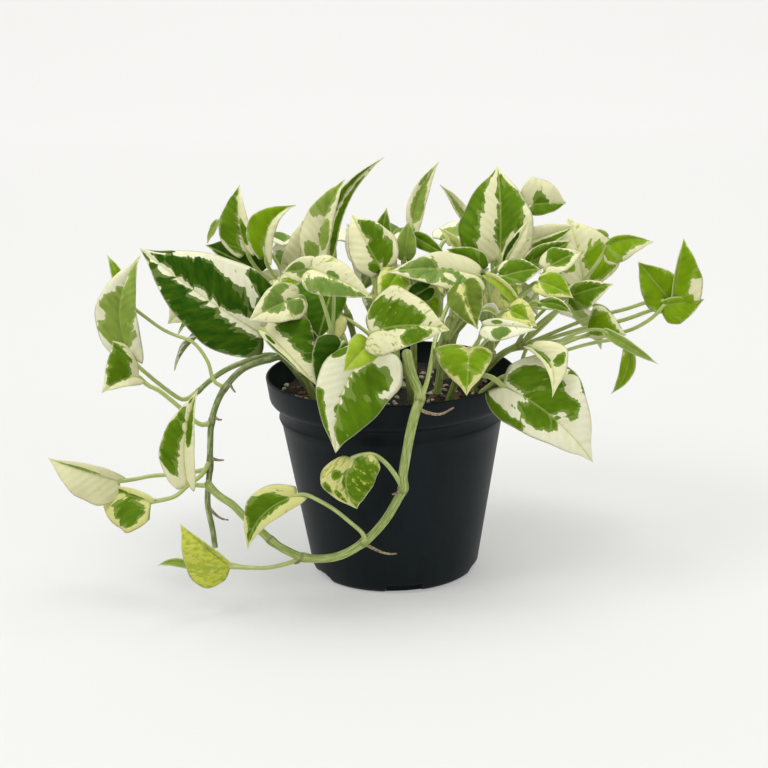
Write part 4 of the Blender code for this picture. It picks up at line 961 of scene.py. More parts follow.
LOOKS = {
    "far_left_low": paint("mid", [(-.45, .29, .42, .26), (.24, .64, .3, .26), (.1, .3, .2, .2)],
                          pale="yellow", flecks=.5),
    "far_left_cream": paint("grey", [(.22, .6, .2, .28)], pale="cream", flecks=.2),
    "left_low": paint("mid", [(.45, .55, .6, .34)], pale="cream"),
    "left_behind": paint("bright", WHOLE, pale="yellow"),
    "left_upright": paint("grey", [(-.14, .36, .78, .33), (.52, .6, .5, .38)], [(-.92, .41, .4, .06)],
                          wave=.16),
    "low_mottled": paint("bright", [(.2, .5, .12, .08)], pale="lime", flecks=1.2),
    "low_young": paint("grey", WHOLE, pale="cream"),
    "front_marbled": paint("mid", [(-.45, .5, .6, .52), (.8, .55, .16, .12), (.5, .7, .2, .14),
                                   (.4, .3, .2, .1)], pale="yellow", flecks=.9, wave=.08),
    "front_drooping": paint("mid", [(.28, .45, .76, .31), (-.02, .2, .35, .12), (-.05, .8, .5, .13)],
                            [(1.05, .19, .4, .21)], pale="yellow", flecks=.45),
    "hanging_olive": paint("olive", [(-.5, .45, .6, .6), (.6, .5, .4, .5)], pale="yellow"),
    "large_left": paint("dark", [(-.6, .44, .5, .62), (.42, .62, .36, .3), (.26, .34, .22, .2),
                                 (.9, .89, .14, .1), (.86, .24, .26, .13), (.64, .12, .3, .1)],
                        [(.66, .36, .09, .09)], wave=.08),
    "left_folded": paint("mid", [(-.56, .5, .42, .4), (.4, .68, .4, .26)], pale="cream"),
    "dark_behind": paint("dark", [(.2, .5, 1.2, .9)]),
    "behind_large": paint("grey", [(.9, .2, .3, .1)], pale="cream"),
    "dark_left": paint("dark", [(0, .5, 1.1, .7)]),
    "dark_front": paint("dark", WHOLE),
    "dark_sliver": paint("dark", [(-.6, .35, .35, .35)], pale="cream"),
    "dark_small": paint("dark", WHOLE),
    "dark_right": paint("mid", [(0, .5, 1.0, .6)], pale="cream"),
    "dark_margin": paint("mid", [(0, .45, .95, .52)], pale="cream"),
    "edge_left": paint("grey", WHOLE, pale="cream"),
    "upright_pair_left": paint("mid", [(-.5, .55, .52, .56), (.3, .3, .35, .2)], pale="cream"),
    "upright_pair_right": paint("bright", [(-.5, .5, .6, .62)], pale="cream"),
    "pale_rim": paint("slate", [(.2, .52, .7, .2), (-.4, .2, .5, .16), (.7, .34, .28, .18)], pale="cream",
                      flecks=.7),
    "low_lying_left": paint("deep", [(-.62, .4, .42, .42), (.84, .5, .2, .3), (.4, .2, .2, .1)],
                            pale="cream", flecks=.4),
    "lying_yellow": paint("slate", [(.56, .56, .44, .42), (-.1, .4, .2, .12)], pale="cream", flecks=.75),
    "mid_green": paint("deep", WHOLE, flecks=.2),
    "inner_left": paint("grey", [(.4, .4, .3, .3)], pale="yellow", flecks=.6),
    "inner_far_left": paint("bright", [(0, .4, .8, .3)], pale="cream", flecks=.9),
    "inner_middle": paint("bright", [(0, .5, .9, .6)], pale="yellow", flecks=.9),
    "inner_right": paint("bright", [(-.4, .5, .5, .4)], pale="yellow", flecks=.8),
    "inner_far_right": paint("bright", [(-.2, .6, .5, .3)], pale="yellow", flecks=.8),
    "tall_upright": paint("grey", [(-.35, .74, .75, .24), (.38, .34, .5, .16), (-.39, .11, .5, .11)],
                          pale="cream"),
    "tall_curved": paint("mid", [(-.4, .5, .5, .7), (.6, .4, .3, .4)], pale="cream"),
    "cream_upright": paint("grey", [(.7, .2, .25, .14)], pale="cream", flecks=.5),
    "centre_upright": paint("mid", [(.52, .6, .42, .26), (.3, .26, .5, .22), (-.3, .08, .35, .1)],
                            pale="cream"),
    "centre_behind": paint("grey", [(.4, .5, .5, .4)]),
    "centre_tip": paint("mid", WHOLE),
    "centre_small": paint("grey", WHOLE),
    "front_large": paint("mid", [(-.42, .34, .42, .21), (-.58, .68, .72, .25), (-.97, .86, .3, .12),
                                 (.97, .74, .38, .24), (.85, .14, .2, .07)], wave=.1),
    "small_yellow": paint("yellow", WHOLE, pale="yellow", flecks=.5),
    "marbled_front": paint("mid", [(-.24, .42, .4, .34), (.55, .64, .42, .18), (-.62, .16, .3, .14)],
                           pale="cream", flecks=.75),
    "slim_upright": paint("grey", [(.1, .36, .75, .3), (-.6, .72, .35, .14), (.2, .72, .2, .14)],
                          pale="cream"),
    "lying_centre": paint("slate", [(0, .7, .9, .2), (-.36, .38, .44, .16)], [(-.38, .41, .18, .06)],
                          pale="cream"),
    "big_upright": paint("mid", [(-.82, .5, .34, .5), (.1, .72, .26, .24), (.46, .48, .5, .42),
                                 (.16, .3, .34, .26)],
                         [(.98, .36, .3, .22), (.52, .12, .4, .16), (.8, .86, .26, .08)],
                         pale="cream", flecks=.35),
    "right_behind": paint("mid", [(.1, .34, .5, .2), (.6, .45, .6, .5)], pale="cream", flecks=.5),
    "drooping_front": paint("bright", [(.48, .44, .48, .36), (-.44, .42, .5, .34), (.1, .76, .46, .2)],
                            pale="yellow", flecks=.6),
    "large_low_right": paint("mid", [(.86, .2, .16, .24), (.3, .42, .36, .2), (-.38, .17, .34, .16),
                                     (-.5, .46, .36, .24), (-.13, .37, .26, .18), (-.97, .5, .08, .14)],
                             [(-.78, .5, .2, .1)], flecks=.2),
    "folded_high": paint("bright", [(.5, .3, .4, .28), (-.6, .3, .3, .14)], pale="cream", flecks=.7),
    "arched_right": paint("bright", [(-.1, .42, .95, .5), (-.3, .8, .5, .2)], pale="cream"),
    "oval_rim": paint("mid", [(-.15, .46, .8, .34)], pale="cream"),
    "far_right": paint("bright", [(0, .55, 1.2, .75)], [(.86, .32, .36, .15)], pale="cream"),
    "far_right_low": paint("bright", [(0, .5, 1.1, .75)], pale="cream"),
    "far_right_inner": paint("bright", [(0, .5, 1.2, .8)], pale="yellow"),
    "bright_right": paint("bright", [(-.25, .4, .62, .5)], pale="cream"),
    "cream_hanging": paint("mid", [(-.52, .52, .4, .1), (.2, .3, .3, .26)], pale="cream"),
    "small_hanging": paint("bright", [(0, .5, 1.0, .7)], pale="yellow", flecks=.6),
    "cream_right": paint("bright", [(-.2, .5, .9, .5)], pale="yellow", flecks=.7),
    "curved_folded": paint("yellow", [(.3, .5, .8, .7)], pale="yellow", flecks=.6),
    "curled_white": paint("yellow", [(-.4, .5, .4, .4)], pale="white"),
    "hooked": paint("mid", [(0, .45, .9, .6)], pale="cream"),
    "white_pointed": paint("slate", [(.5, .42, .4, .2), (-.5, .3, .3, .12)], pale="ivory", flecks=.6),
    "white_end": paint("slate", [(.3, .62, .5, .26), (-.3, .34, .4, .26)], pale="cream"),
    "cream_round": paint("bright", [(-.12, .36, .5, .32)], pale="yellow", flecks=.8),
    "long_cream": paint("mid", [(.55, .5, .3, .4)], pale="cream"),
    "long_green": paint("mid", [(0, .5, 1.0, .7)], pale="cream"),
    "olive": paint("mid", WHOLE, pale="yellow"),
    "bright_small": paint("mid", [(0, .5, 1.1, .8)], pale="yellow"),
    "yellow_green": paint("bright", [(-.2, .5, .9, .6)], pale="yellow", flecks=.9),
    "thin_curl": paint("grey", [(-.3, .4, .5, .45)], pale="cream"),
    "pale_tip": paint("grey", [(-.3, .3, .4, .25)], pale="yellow"),
    "slim_right": paint("grey", WHOLE),
    "small_high": paint("grey", WHOLE, pale="cream"),
}
print("painted from the photograph:", len(LOOKS), "leaves")

# %% [markdown]
# ## The blades
# A pothos blade is a heart with a long tip. Its halves rise from the midrib like the pages of an open
# book, each half puffs up a little between the side veins, and the edge waves. A plane could be cut to
# that outline and bent with modifiers, but then each of the leaves would need its own. Here one function of
# two parameters makes them all: `across`, from -1 at the left edge to 1 at the right, and `along`, from the
# notch at the stalk to the tip. The upper and the lower skin are that sheet moved out and in along its
# normal, and they meet in a sharp edge.

# %% Blade sheet
ACROSS = 27
ALONG = 32
TIP_ROW = 0.985
# The outline: how far back the heart's lobes reach, where its first row lies, what its formula gives at
# the widest place, and the narrowing before the tip.
HEART_LOBE = 0.11
FIRST_SHARE = 0.035
FULL_WIDTH = 0.385
LOBE_ROUNDNESS = 1.7
COLUMN_CROWDING = 1.3
NARROWED = 0.22
NARROWED_AT = 0.93
NARROWED_OVER = 0.07
# The ripple of the outline, and the waves of the edge, both counted along the leaf.
RIPPLES = 3.2
RIPPLE_LEFT = 0.02
RIPPLE_RIGHT = 0.018
EDGE_WAVES = 1.6
# The relief, as shares of the half width or the length, and the rib's groove in millimetres.
PUFF = 0.07
RIM_ROLL = 0.05
TIP_CURL = 0.02
CURL_START = 0.7
RIB_DEPTH = 0.35
RIB_HALF = 1.1
RIB_FADE = 0.3
# How far ahead a side vein runs for each millimetre that it goes out from the rib.
VEIN_SLOPE = 0.75


def arched(x):
    """A low arch: 0 at both ends of a leaf and 1 in its middle."""
    return 4 * x * (1 - x)


def blade_sheet(row, look, draw):
    """The middle sheet of a blade on a grid, and what its paint needs to know at each point.

    The half width goes as sqrt(t) (1 - t), drawn in a little before the tip, with a slow ripple, and
    the leaf's lean makes its right half wider by a share and its left half narrower. The
    height over the flat leaf is the fold, times the distance from the rib, plus a sine puff over each
    half, minus a rolled-down rim, plus a wave that grows with the square of the distance, minus a curl
    of the tip and a groove along the rib. The rib arches as 4 x (1 - x) and bends sideways by the same.
    """
    ahead, face, side = leaf_axes(row)
    length = np.linalg.norm(row.tip - row.base)
    across = np.linspace(-1.0, 1.0, ACROSS)
    across = (np.sign(across) * np.abs(across) ** COLUMN_CROWDING)[None, :]
    edge = np.abs(across)
    left = across < 0
    step = np.linspace(0.0, TIP_ROW, ALONG)[:, None]
    t = FIRST_SHARE + (1 - FIRST_SHARE) * step
    phase = [draw.uniform(0, 1) for _ in range(4)]

    half = row.width / 2 * np.sqrt(t) * (1 - t) / FULL_WIDTH
    half = half * (1 - NARROWED * np.exp(-((t - NARROWED_AT) / NARROWED_OVER) ** 2))
    ripple = np.where(left, RIPPLE_LEFT, RIPPLE_RIGHT) * np.sin(
        2 * pi * (RIPPLES * t + np.where(left, phase[0], phase[1])))
    half = half * (1 + row.lean * np.sign(across)) * (1 + ripple)
    spread = across * half

    reach = -HEART_LOBE + (1 + HEART_LOBE) * t
    x = step + (reach - step) * (1 - (1 - edge) ** LOBE_ROUNDNESS)
    wave = np.sin(2 * pi * (EDGE_WAVES * t + np.where(left, phase[2], phase[3])))
    height = np.abs(spread) * sin(radians(row.fold))
    height += half * (PUFF * np.sin(pi * edge) - RIM_ROLL * edge ** 4)
    height += half * look.wave * edge ** 2 * wave * np.sin(pi * t) ** 0.5
    height += row.arch * length * arched(x)
    height -= TIP_CURL * length * np.clip((x - CURL_START) / (1 - CURL_START), 0, 1) ** 2
    height -= RIB_DEPTH * np.exp(-(spread / RIB_HALF) ** 2) * (1 - step) ** RIB_FADE
    aside = spread * cos(radians(row.fold)) + row.bend * length * arched(x)
    sheet = (row.base + ahead * (x * length)[..., None] + side * aside[..., None]
             + face * height[..., None])
    facts = dict(across=np.broadcast_to(across, x.shape), along=np.broadcast_to(step, x.shape),
                 spread=spread, rim=(1 - edge) * half, vein=x * length - VEIN_SLOPE * np.abs(spread))
    return sheet, facts


print("a blade's sheet has", ALONG, "rows of", ACROSS, "points")

# %% Blade skins
SKIN = 0.5
EDGE_SHARPNESS = 8
UNDER_RIB = 0.9
UNDER_RIB_HALF = 1.2
UNDER_RIB_TAPER = 0.85
TIP_REACH = 0.6
UPPER_COUNT = ALONG * ACROSS
LOWER_SHAPE = (ALONG - 1, ACROSS - 2)
LOWER_COUNT = LOWER_SHAPE[0] * LOWER_SHAPE[1]
BLADE_COUNT = UPPER_COUNT + 1 + LOWER_COUNT


def blade_points(row, look, draw):
    """The blade's corners, upper skin first, then the tip, then the lower skin inside the edge.

    Each skin is the middle sheet moved along its normal by half the leaf's thickness, which falls to
    nothing at the edge. The lower skin also stands out along the midrib, as a real one does.
    """
    sheet, facts = blade_sheet(row, look, draw)
    along, over = np.gradient(sheet, axis=0), np.gradient(sheet, axis=1)
    normal = np.cross(over, along)
    normal /= np.linalg.norm(normal, axis=-1, keepdims=True)
    full = SKIN / 2 * (1 - np.abs(facts["across"]) ** EDGE_SHARPNESS)
    full[0] = 0.0
    rib = UNDER_RIB * np.exp(-(facts["spread"] / UNDER_RIB_HALF) ** 2)
    rib = rib * (1 - UNDER_RIB_TAPER * facts["along"])
    rib[0] = 0.0
    upper = sheet + normal * full[..., None]
    lower = sheet - normal * (full + rib)[..., None]
    last, before = sheet[-1, ACROSS // 2], sheet[-2, ACROSS // 2]
    tip = last + (last - before) * TIP_REACH
    return np.concatenate((upper.reshape(-1, 3), tip[None], lower[1:, 1:-1].reshape(-1, 3))), facts


def blade_faces():
    """Two grids of faces that share their edge, and a fan from each to the tip."""
    upper = np.arange(UPPER_COUNT).reshape(ALONG, ACROSS)
    lower = upper.copy()
    lower[1:, 1:-1] = UPPER_COUNT + 1 + np.arange(LOWER_COUNT).reshape(LOWER_SHAPE)
    top = np.stack((upper[:-1, :-1], upper[:-1, 1:], upper[1:, 1:], upper[1:, :-1]), axis=-1)
    below = np.stack((lower[:-1, :-1], lower[1:, :-1], lower[1:, 1:], lower[:-1, 1:]), axis=-1)
    tips = np.full(ACROSS - 1, UPPER_COUNT)
    top_fan = np.stack((upper[-1, :-1], upper[-1, 1:], tips), axis=-1)
    below_fan = np.stack((lower[-1, 1:], lower[-1, :-1], tips), axis=-1)
    return [np.concatenate((top.reshape(-1, 4), below.reshape(-1, 4))), np.concatenate((top_fan, below_fan))]


BLADE_FACES = blade_faces()
print("one blade:", BLADE_COUNT, "corners,", sum(len(block) for block in BLADE_FACES), "faces")


# %% What a blade carries for its paint
def spots(across, along, rows):
    """How deep a point lies in the nearest of some ovals: 1 in its middle, 0 on its outline."""
    deep = np.full(across.shape, -1.0)
    for middle, up, half_across, half_along in rows:
        deep = np.maximum(deep, 1 - np.hypot((across - middle) / half_across, (along - up) / half_along))
    return deep


def ordered(field, tip):
    """A field on the blade's grid, in the order of the blade's corners, with its value at the tip."""
    return np.concatenate((field.ravel(), [tip], field[1:, 1:-1].ravel()))


def blade_paint(look, facts):
    """The attributes of a blade's corners, in the corners' order."""
    across, along = facts["across"], facts["along"]
    green = spots(across, along, look.green)
    if look.cream:
        green = np.minimum(green, -spots(across, along, look.cream))
    vein_place = (ordered(facts["spread"], 0.0), ordered(facts["vein"], facts["vein"][-1].max()))
    return dict(green_share=ordered(green, green[-1].max()),
                rib_distance=ordered(np.abs(facts["spread"]), 0.0),
                rim_distance=ordered(facts["rim"], 0.0),
                underside=np.repeat((0.0, 1.0), (UPPER_COUNT + 1, LOWER_COUNT)),
                flecks=np.full(BLADE_COUNT, look.flecks),
                vein_place=np.stack(vein_place, axis=-1))


def put(mesh, name, kind, values):
    """An attribute on a mesh's corners: numbers, or colours."""
    layer = mesh.attributes.new(name, kind, "POINT")
    layer.data.foreach_set("color" if kind == "FLOAT_COLOR" else "value",
                           np.asarray(values, np.float32).ravel())


def put_places(mesh, name, places):
    """A UV map that takes its values from the mesh's corner points."""
    layer = mesh.uv_layers.new(name=name)
    point = np.empty(len(mesh.loops), int)
    mesh.loops.foreach_get("vertex_index", point)
    layer.data.foreach_set("uv", places[point].astype(np.float32).ravel())


print("in the middle of an oval the depth is", spots(np.zeros(1), np.full(1, 0.5), WHOLE)[0])

# %% [markdown]
# ## The leaf's finish
# A pothos leaf has a thin wax over green and white cells. White parts hold no green, and at the border
# only the top layer lacks it, which shows as a paler grey-green band with a toothed edge that follows the
# side veins. So the painted share is first roughened by noise that is stretched along the veins, and
# then cut at two levels: cream below the first, pale green up to the second, full green above it. The
# patterns read a place in millimetres that each corner carries: across from the rib, and along the veins.

# %% Leaf material: patterns
leaf_skin, tree, shader = new_material("waxy_variegated_leaf", Roughness=0.42, IOR=1.45,
                                       Specular_IOR_Level=0.07)
SOFT_STEP = {"interpolation_type": "SMOOTHSTEP"}
MULTIPLY = {"operation": "MULTIPLY"}
MULTIPLY_ADD = {"operation": "MULTIPLY_ADD"}

veins = add(tree, "UVMap", {"uv_map": "vein_place"})
feathered = add(tree, "Mapping", Vector=veins, Scale=(0.30, 1.0, 1.0))
patchy = add(tree, "Mapping", Vector=veins, Scale=(0.7, 1.0, 1.0))
speckled = add(tree, "Mapping", Vector=veins, Scale=(0.85, 1.0, 1.0))

# Each pattern: the place it reads, how many of its features go to a millimetre, detail and roughness.
PATTERNS = {
    "lobes": (veins, 0.13, 2.0, 0.5),
    "teeth": (feathered, 0.26, 2.0, 0.5),
    "fine_teeth": (feathered, 0.9, 2.0, 0.5),
    "band": (feathered, 0.13, 2.0, 0.5),
    "mottle": (patchy, 0.17, 4.0, 0.55),
    "clouds": (veins, 0.055, 2.0, 0.5),
    "dots": (speckled, 0.38, 3.0, 0.55),
    "dot_groups": (veins, 0.09, 1.0, 0.5),
    "gold": (speckled, 0.3, 5.0, 0.62),
    "cells": (veins, 2.2, 3.0, 0.5),
}
noise = {}
for name, (place, per_mm, detail, rough) in PATTERNS.items():
    noise[name] = add(tree, "TexNoise", Vector=place, Scale=per_mm, Detail=detail, Roughness=rough)
feed(tree, noise["gold"], Lacunarity=2.3)
deep, cream = (add(tree, "Attribute", {"attribute_name": name}) for name in ("deep_colour", "cream_colour"))
carried = {}
for name in ("green_share", "flecks", "underside", "rib_distance", "rim_distance"):
    carried[name] = add(tree, "Attribute", {"attribute_name": name}).outputs["Fac"]
print("leaf patterns in mm:", {name: round(1 / row[1], 1) for name, row in PATTERNS.items()})


# %% Leaf material: islands and band
def shift_by(tree, value, field, size):
    """A value plus a noise that swings it by size either way."""
    swing = add(tree, "MapRange", {"clamp": False}, Value=field, From_Min=0.3, From_Max=0.7,
                To_Min=-size, To_Max=size)
    return add(tree, "Math", {"operation": "ADD"}, _0=value, _1=swing)


# How far each pattern moves an island's outline, as a share of the island's size.
OUTLINE = {"lobes": 0.22, "teeth": 0.10, "fine_teeth": 0.03}
EDGE_SOFT = 0.02
BAND = 0.20
BAND_SWING = 0.22
BAND_SOFT = 0.035

share = carried["green_share"]
for name, size in OUTLINE.items():
    share = shift_by(tree, share, noise[name], size)
is_green = add(tree, "MapRange", SOFT_STEP, Value=share, From_Min=-EDGE_SOFT, From_Max=EDGE_SOFT)
inner = shift_by(tree, share, noise["band"], BAND_SWING)
is_deep = add(tree, "MapRange", SOFT_STEP, Value=inner, From_Min=BAND - BAND_SOFT, From_Max=BAND + BAND_SOFT)
print("leaf material:", len(tree.nodes), "nodes for the islands")

# %% Leaf material: greens and creams
# How much of a paler, brighter, darker or yellower colour there is at most.
PALE_MOST = 0.26
LIGHT_MOST = 0.62
BRIGHTER_BY = 0.6
DARK_MOST = 0.30
YELLOW_MOST = 0.5

pale = add(tree, "MixRGB", Fac=PALE_MOST, Color1=deep, Color2=linear("#b4c274"))
light_share = add(tree, "MapRange", Value=noise["mottle"], From_Min=0.38, From_Max=0.72, To_Max=LIGHT_MOST)
brighter = add(tree, "MixRGB", {"blend_type": "ADD"}, Fac=BRIGHTER_BY, Color1=deep, Color2=linear("#5c6b12"))
dark_share = add(tree, "MapRange", Value=noise["clouds"], From_Min=0.42, From_Max=0.64, To_Max=DARK_MOST)
shadowed = add(tree, "MixRGB", Fac=dark_share, Color1=deep, Color2=linear("#1f4200"))
deep_mottled = add(tree, "MixRGB", Fac=light_share, Color1=shadowed, Color2=brighter)
green = add(tree, "MixRGB", Fac=is_deep, Color1=pale, Color2=deep_mottled)
yellowed = add(tree, "MapRange", Value=noise["mottle"], From_Min=0.45, From_Max=0.75, To_Max=YELLOW_MOST)
cream_mottled = add(tree, "MixRGB", Fac=yellowed, Color1=cream, Color2=linear("#d5d193"))
print("leaf material:", len(tree.nodes), "nodes with its greens and creams")

# %% [markdown]
# ### Flecks, underside, rib and rim
# The cream parts carry small green dots and the green ones gold flecks, more on some leaves than on others.
# So each leaf's own number lifts a noise, and what passes a level is a fleck. The underside is paler than
# the face, and the rib and the rim are drawn as pale lines at a distance that each corner carries.

# %% Leaf material: flecks and underside
DOT_LIFT = 0.28
DOT_GROUPING = 0.12
DOT_LEVEL = 0.84
DOT_SOFT = 0.09
DOT_STRENGTH = 0.6
GOLD_LIFT = 0.36
GOLD_LEVEL = 0.92
GOLD_SOFT = 0.05
UNDER_PALER = 0.38

grouped = shift_by(tree, noise["dots"], noise["dot_groups"], DOT_GROUPING)
dotted = add(tree, "Math", MULTIPLY_ADD, _0=carried["flecks"], _1=DOT_LIFT, _2=grouped)
is_dot = add(tree, "MapRange", SOFT_STEP, Value=dotted, From_Min=DOT_LEVEL - DOT_SOFT,
             From_Max=DOT_LEVEL + DOT_SOFT)
dot = add(tree, "MixRGB", Fac=DOT_STRENGTH, Color1=deep, Color2=linear("#b9bf55"))
cream_flecked = add(tree, "MixRGB", Fac=is_dot, Color1=cream_mottled, Color2=dot)
gilded = add(tree, "Math", MULTIPLY_ADD, _0=carried["flecks"], _1=GOLD_LIFT, _2=noise["gold"])
is_gold = add(tree, "MapRange", SOFT_STEP, Value=gilded, From_Min=GOLD_LEVEL - GOLD_SOFT,
              From_Max=GOLD_LEVEL + GOLD_SOFT)
green_flecked = add(tree, "MixRGB", Fac=is_gold, Color1=green, Color2=linear("#b9be58"))
below = add(tree, "Math", MULTIPLY, _0=carried["underside"], _1=UNDER_PALER)
green_turned = add(tree, "MixRGB", Fac=below, Color1=green_flecked, Color2=linear("#a9b878"))
painted = add(tree, "MixRGB", Fac=is_green, Color1=cream_flecked, Color2=green_turned)
print("leaf material:", len(tree.nodes), "nodes with its flecks")

# %% Leaf material: rib, rim and relief
# The lines' strength; the side veins' spacing in millimetres; their height beside the cells' own.
RIB_MOST = 0.42
RIM_MOST = 0.65
VEIN_SPACING = 5.2
VEIN_HEIGHT = 0.45

rib = add(tree, "MapRange", SOFT_STEP, Value=carried["rib_distance"], From_Min=0.35, From_Max=0.95,
          To_Min=RIB_MOST, To_Max=0.0)
ribbed = add(tree, "MixRGB", Fac=rib, Color1=painted, Color2=linear("#b3c06a"))
rim = add(tree, "MapRange", Value=carried["rim_distance"], From_Min=0.1, From_Max=0.9,
          To_Min=RIM_MOST, To_Max=0.0)
rimmed = add(tree, "MixRGB", Fac=rim, Color1=ribbed, Color2=linear("#dfe0b4"))
down_vein = add(tree, "SeparateXYZ", Vector=veins).outputs["Y"]
swing = add(tree, "Math", MULTIPLY, _0=down_vein, _1=2 * pi / VEIN_SPACING)
ridge = add(tree, "Math", {"operation": "SINE"}, _0=swing)
bumps = add(tree, "Math", MULTIPLY_ADD, _0=ridge, _1=VEIN_HEIGHT, _2=noise["cells"])
relief = add(tree, "Bump", Height=bumps, Strength=0.27, Distance=0.0010)
feed(tree, shader, Base_Color=rimmed, Normal=relief)
print("leaf material:", len(tree.nodes), "nodes in all")

# %% [markdown]
# ## Stalks and stems
# A petiole is round with a channel along its upper side, thicker where its sheath clasps the stem, and it
# runs on under the blade as the midrib. A stem is rounder, with a swelling and a ring at each node where
# a leaf leaves it. A curve with a bevel would be round all along. So both are a ring of points carried
# along a path, where each ring turns as little as it can from the last.

# %% Tubes
TUBE_SIDES = 12
TUBE_ANGLES = np.arange(TUBE_SIDES) * 2 * pi / TUBE_SIDES
CHANNEL_HALF = 0.5


def tube(path, radii, face, groove=0.0):
    """A tube of rings square to a path, closed by a pole at each end.

    A ring's radius is the path's radius there, less a bell-shaped channel on the side that faces up.
    """
    path = np.asarray(path, float)
    along = np.gradient(path, axis=0)
    along /= np.linalg.norm(along, axis=1)[:, None]
    from_top = np.minimum(TUBE_ANGLES, 2 * pi - TUBE_ANGLES)
    shape = 1 - groove * np.exp(-(from_top / CHANNEL_HALF) ** 2)
    up = face
    rings = []
    for centre, ahead, radius in zip(path, along, radii):
        up = unit(up - ahead * ahead.dot(up))
        ring = np.outer(np.cos(TUBE_ANGLES), up) + np.outer(np.sin(TUBE_ANGLES), np.cross(ahead, up))
        rings.append(centre + radius * shape[:, None] * ring)
    return np.concatenate(rings + [path[[0, -1]]]), turned_faces(len(path), TUBE_SIDES)


def joined(shapes):
    """Several shapes of points and face blocks as one."""
    points, faces, first = [], [], 0
    for own, blocks in shapes:
        points.append(own)
        faces += [np.asarray(block) + first for block in blocks]
        first += len(own)
    return np.concatenate(points), faces


print("a tube's ring has", TUBE_SIDES, "corners")

# %% [markdown]
# ### Green skin and dry root
# A stalk's skin is waxy like the leaf's, with paler and darker streaks that run along it, and a brown ring
# at each node. An aerial root is dry and brown, with a corky grain of about 1 mm. The streaks read a
# place that each corner carries: round the stalk, and along it in millimetres.

# %% Stalk and root materials
ROOT_GRAIN_PER_METRE = 900.0

green_skin, tree, shader = new_material("green_stalk", Roughness=0.42, IOR=1.45)
skin, scar = (add(tree, "Attribute", {"attribute_name": name}) for name in ("skin_colour", "scar"))
round_place = add(tree, "UVMap", {"uv_map": "skin_place"})
stretch = add(tree, "Mapping", Vector=round_place, Scale=(2.6, 0.10, 1.0))
streak = add(tree, "TexNoise", Vector=stretch, Scale=1.0, Detail=4.0, Roughness=0.6)
paler = add(tree, "MapRange", Value=streak, From_Min=0.42, From_Max=0.66, To_Max=0.7)
streaked = add(tree, "MixRGB", Fac=paler, Color1=skin, Color2=linear("#cdd49a"))
darker = add(tree, "MapRange", Value=streak, From_Min=0.22, From_Max=0.42, To_Min=0.35, To_Max=0.0)
shaded = add(tree, "MixRGB", Fac=darker, Color1=streaked, Color2=linear("#4a6426"))
scarred = add(tree, "MixRGB", Fac=scar.outputs["Fac"], Color1=shaded, Color2=linear("#54491f"))
relief = add(tree, "Bump", Height=streak, Strength=0.4, Distance=0.0004)
feed(tree, shader, Base_Color=scarred, Normal=relief)

dry_root, tree, shader = new_material("dry_aerial_root", Roughness=0.8)
place = add(tree, "TexCoord").outputs["Object"]
grain = add(tree, "TexNoise", Vector=place, Scale=ROOT_GRAIN_PER_METRE, Detail=4.0)
two_tones(tree, shader, grain, 0.35, 0.65, "#66553f", "#b0a083")
print("stalk finishes:", green_skin.name, "and", dry_root.name)

# %% [markdown]
# ## Grow every stem
# Each stem of the frame becomes two pieces: its blades, and its green stalks. Both stand for the same
# solid. Every leaf has its own seeded draw, so its ripples never change.

# %% Stalks, stems and their skins
STALK_SKIN = "#a3b45e"
STEM_SKIN = "#86993f"
# The hanging and left vines carry a darker, greyer green than the front vine: partly their own colour, partly
# painted shade, the tone they show where they hang in shade.
VINE_SKINS_WITH_PAINTED_SHADE = {"vine_front": "#85983f", "vine_hanging": "#5f7236", "vine_left": "#728540"}
STALK_POINTS = 26
STALK_GROOVE = 0.28
RIB_RUN = 0.30
RIB_POINTS = 6
RIB_BELOW = 0.7
RIB_START = 0.75
RIB_END = 0.12
SHEATH = 0.35
SHEATH_REACH = 6.0
JOINT = 0.12
JOINT_REACH = 5.0
STEM_DEPTH = 18.0
BELOW_SOIL = 4.0
CROWN_POINTS = 26
VINE_POINTS = 14
NODE_SWELL = 0.22
NODE_REACH = 2.6
SCAR = 0.55
SCAR_ABOVE = 1.6
SCAR_REACH = 0.9


def bell(distance, reach):
    """1 where the distance is 0, falling to nothing on both sides over a reach."""
    return np.exp(-(distance / reach) ** 2)


def petiole(row, start, bow):
    """A stalk's path and radii: up to the blade, then on under it as the midrib.

    The stalk is thickest in its sheath at the stem and swells a little where the blade joins it. The
    midrib follows the blade's arch and bend just below its sheet, and tapers.
    """
    ahead, face, side = leaf_axes(row)
    length = np.linalg.norm(row.tip - row.base)
    stalk = stalk_curve(row, start, bow, STALK_POINTS)
    x = np.linspace(0.0, RIB_RUN, RIB_POINTS + 1)[1:]
    rib = (row.base + np.outer(x * length, ahead) + np.outer(row.arch * length * arched(x) - RIB_BELOW, face)
           + np.outer(row.bend * length * arched(x), side))
    radius = STALK_LEAST + row.width * STALK_SHARE
    run = length_along(stalk)
    thick = radius * (1 + SHEATH * np.exp(-run / SHEATH_REACH) + JOINT * bell(run - run[-1], JOINT_REACH))
    thick = np.concatenate((thick, radius * np.linspace(RIB_START, RIB_END, RIB_POINTS)))
    return np.vstack((stalk, rib)), thick


def stem_line(stem):
    """A stem's line from its foot in the soil upwards, the distance along it, and its radii."""
    knots, _ = stem_knots(stem)
    above = smooth_path(knots, VINE_POINTS * len(knots) if "knots" in stem else CROWN_POINTS)
    foot = [(*stem["foot"], SOIL_TOP - depth) for depth in (STEM_DEPTH, BELOW_SOIL)]
    line = np.vstack((foot, above))
    run = length_along(line)
    return line, run, np.interp(run, (run[2], run[-1]), stem["radius"])


print("the stalk of a leaf 30 mm wide is", round(2 * (STALK_LEAST + 30 * STALK_SHARE), 2), "mm thick")


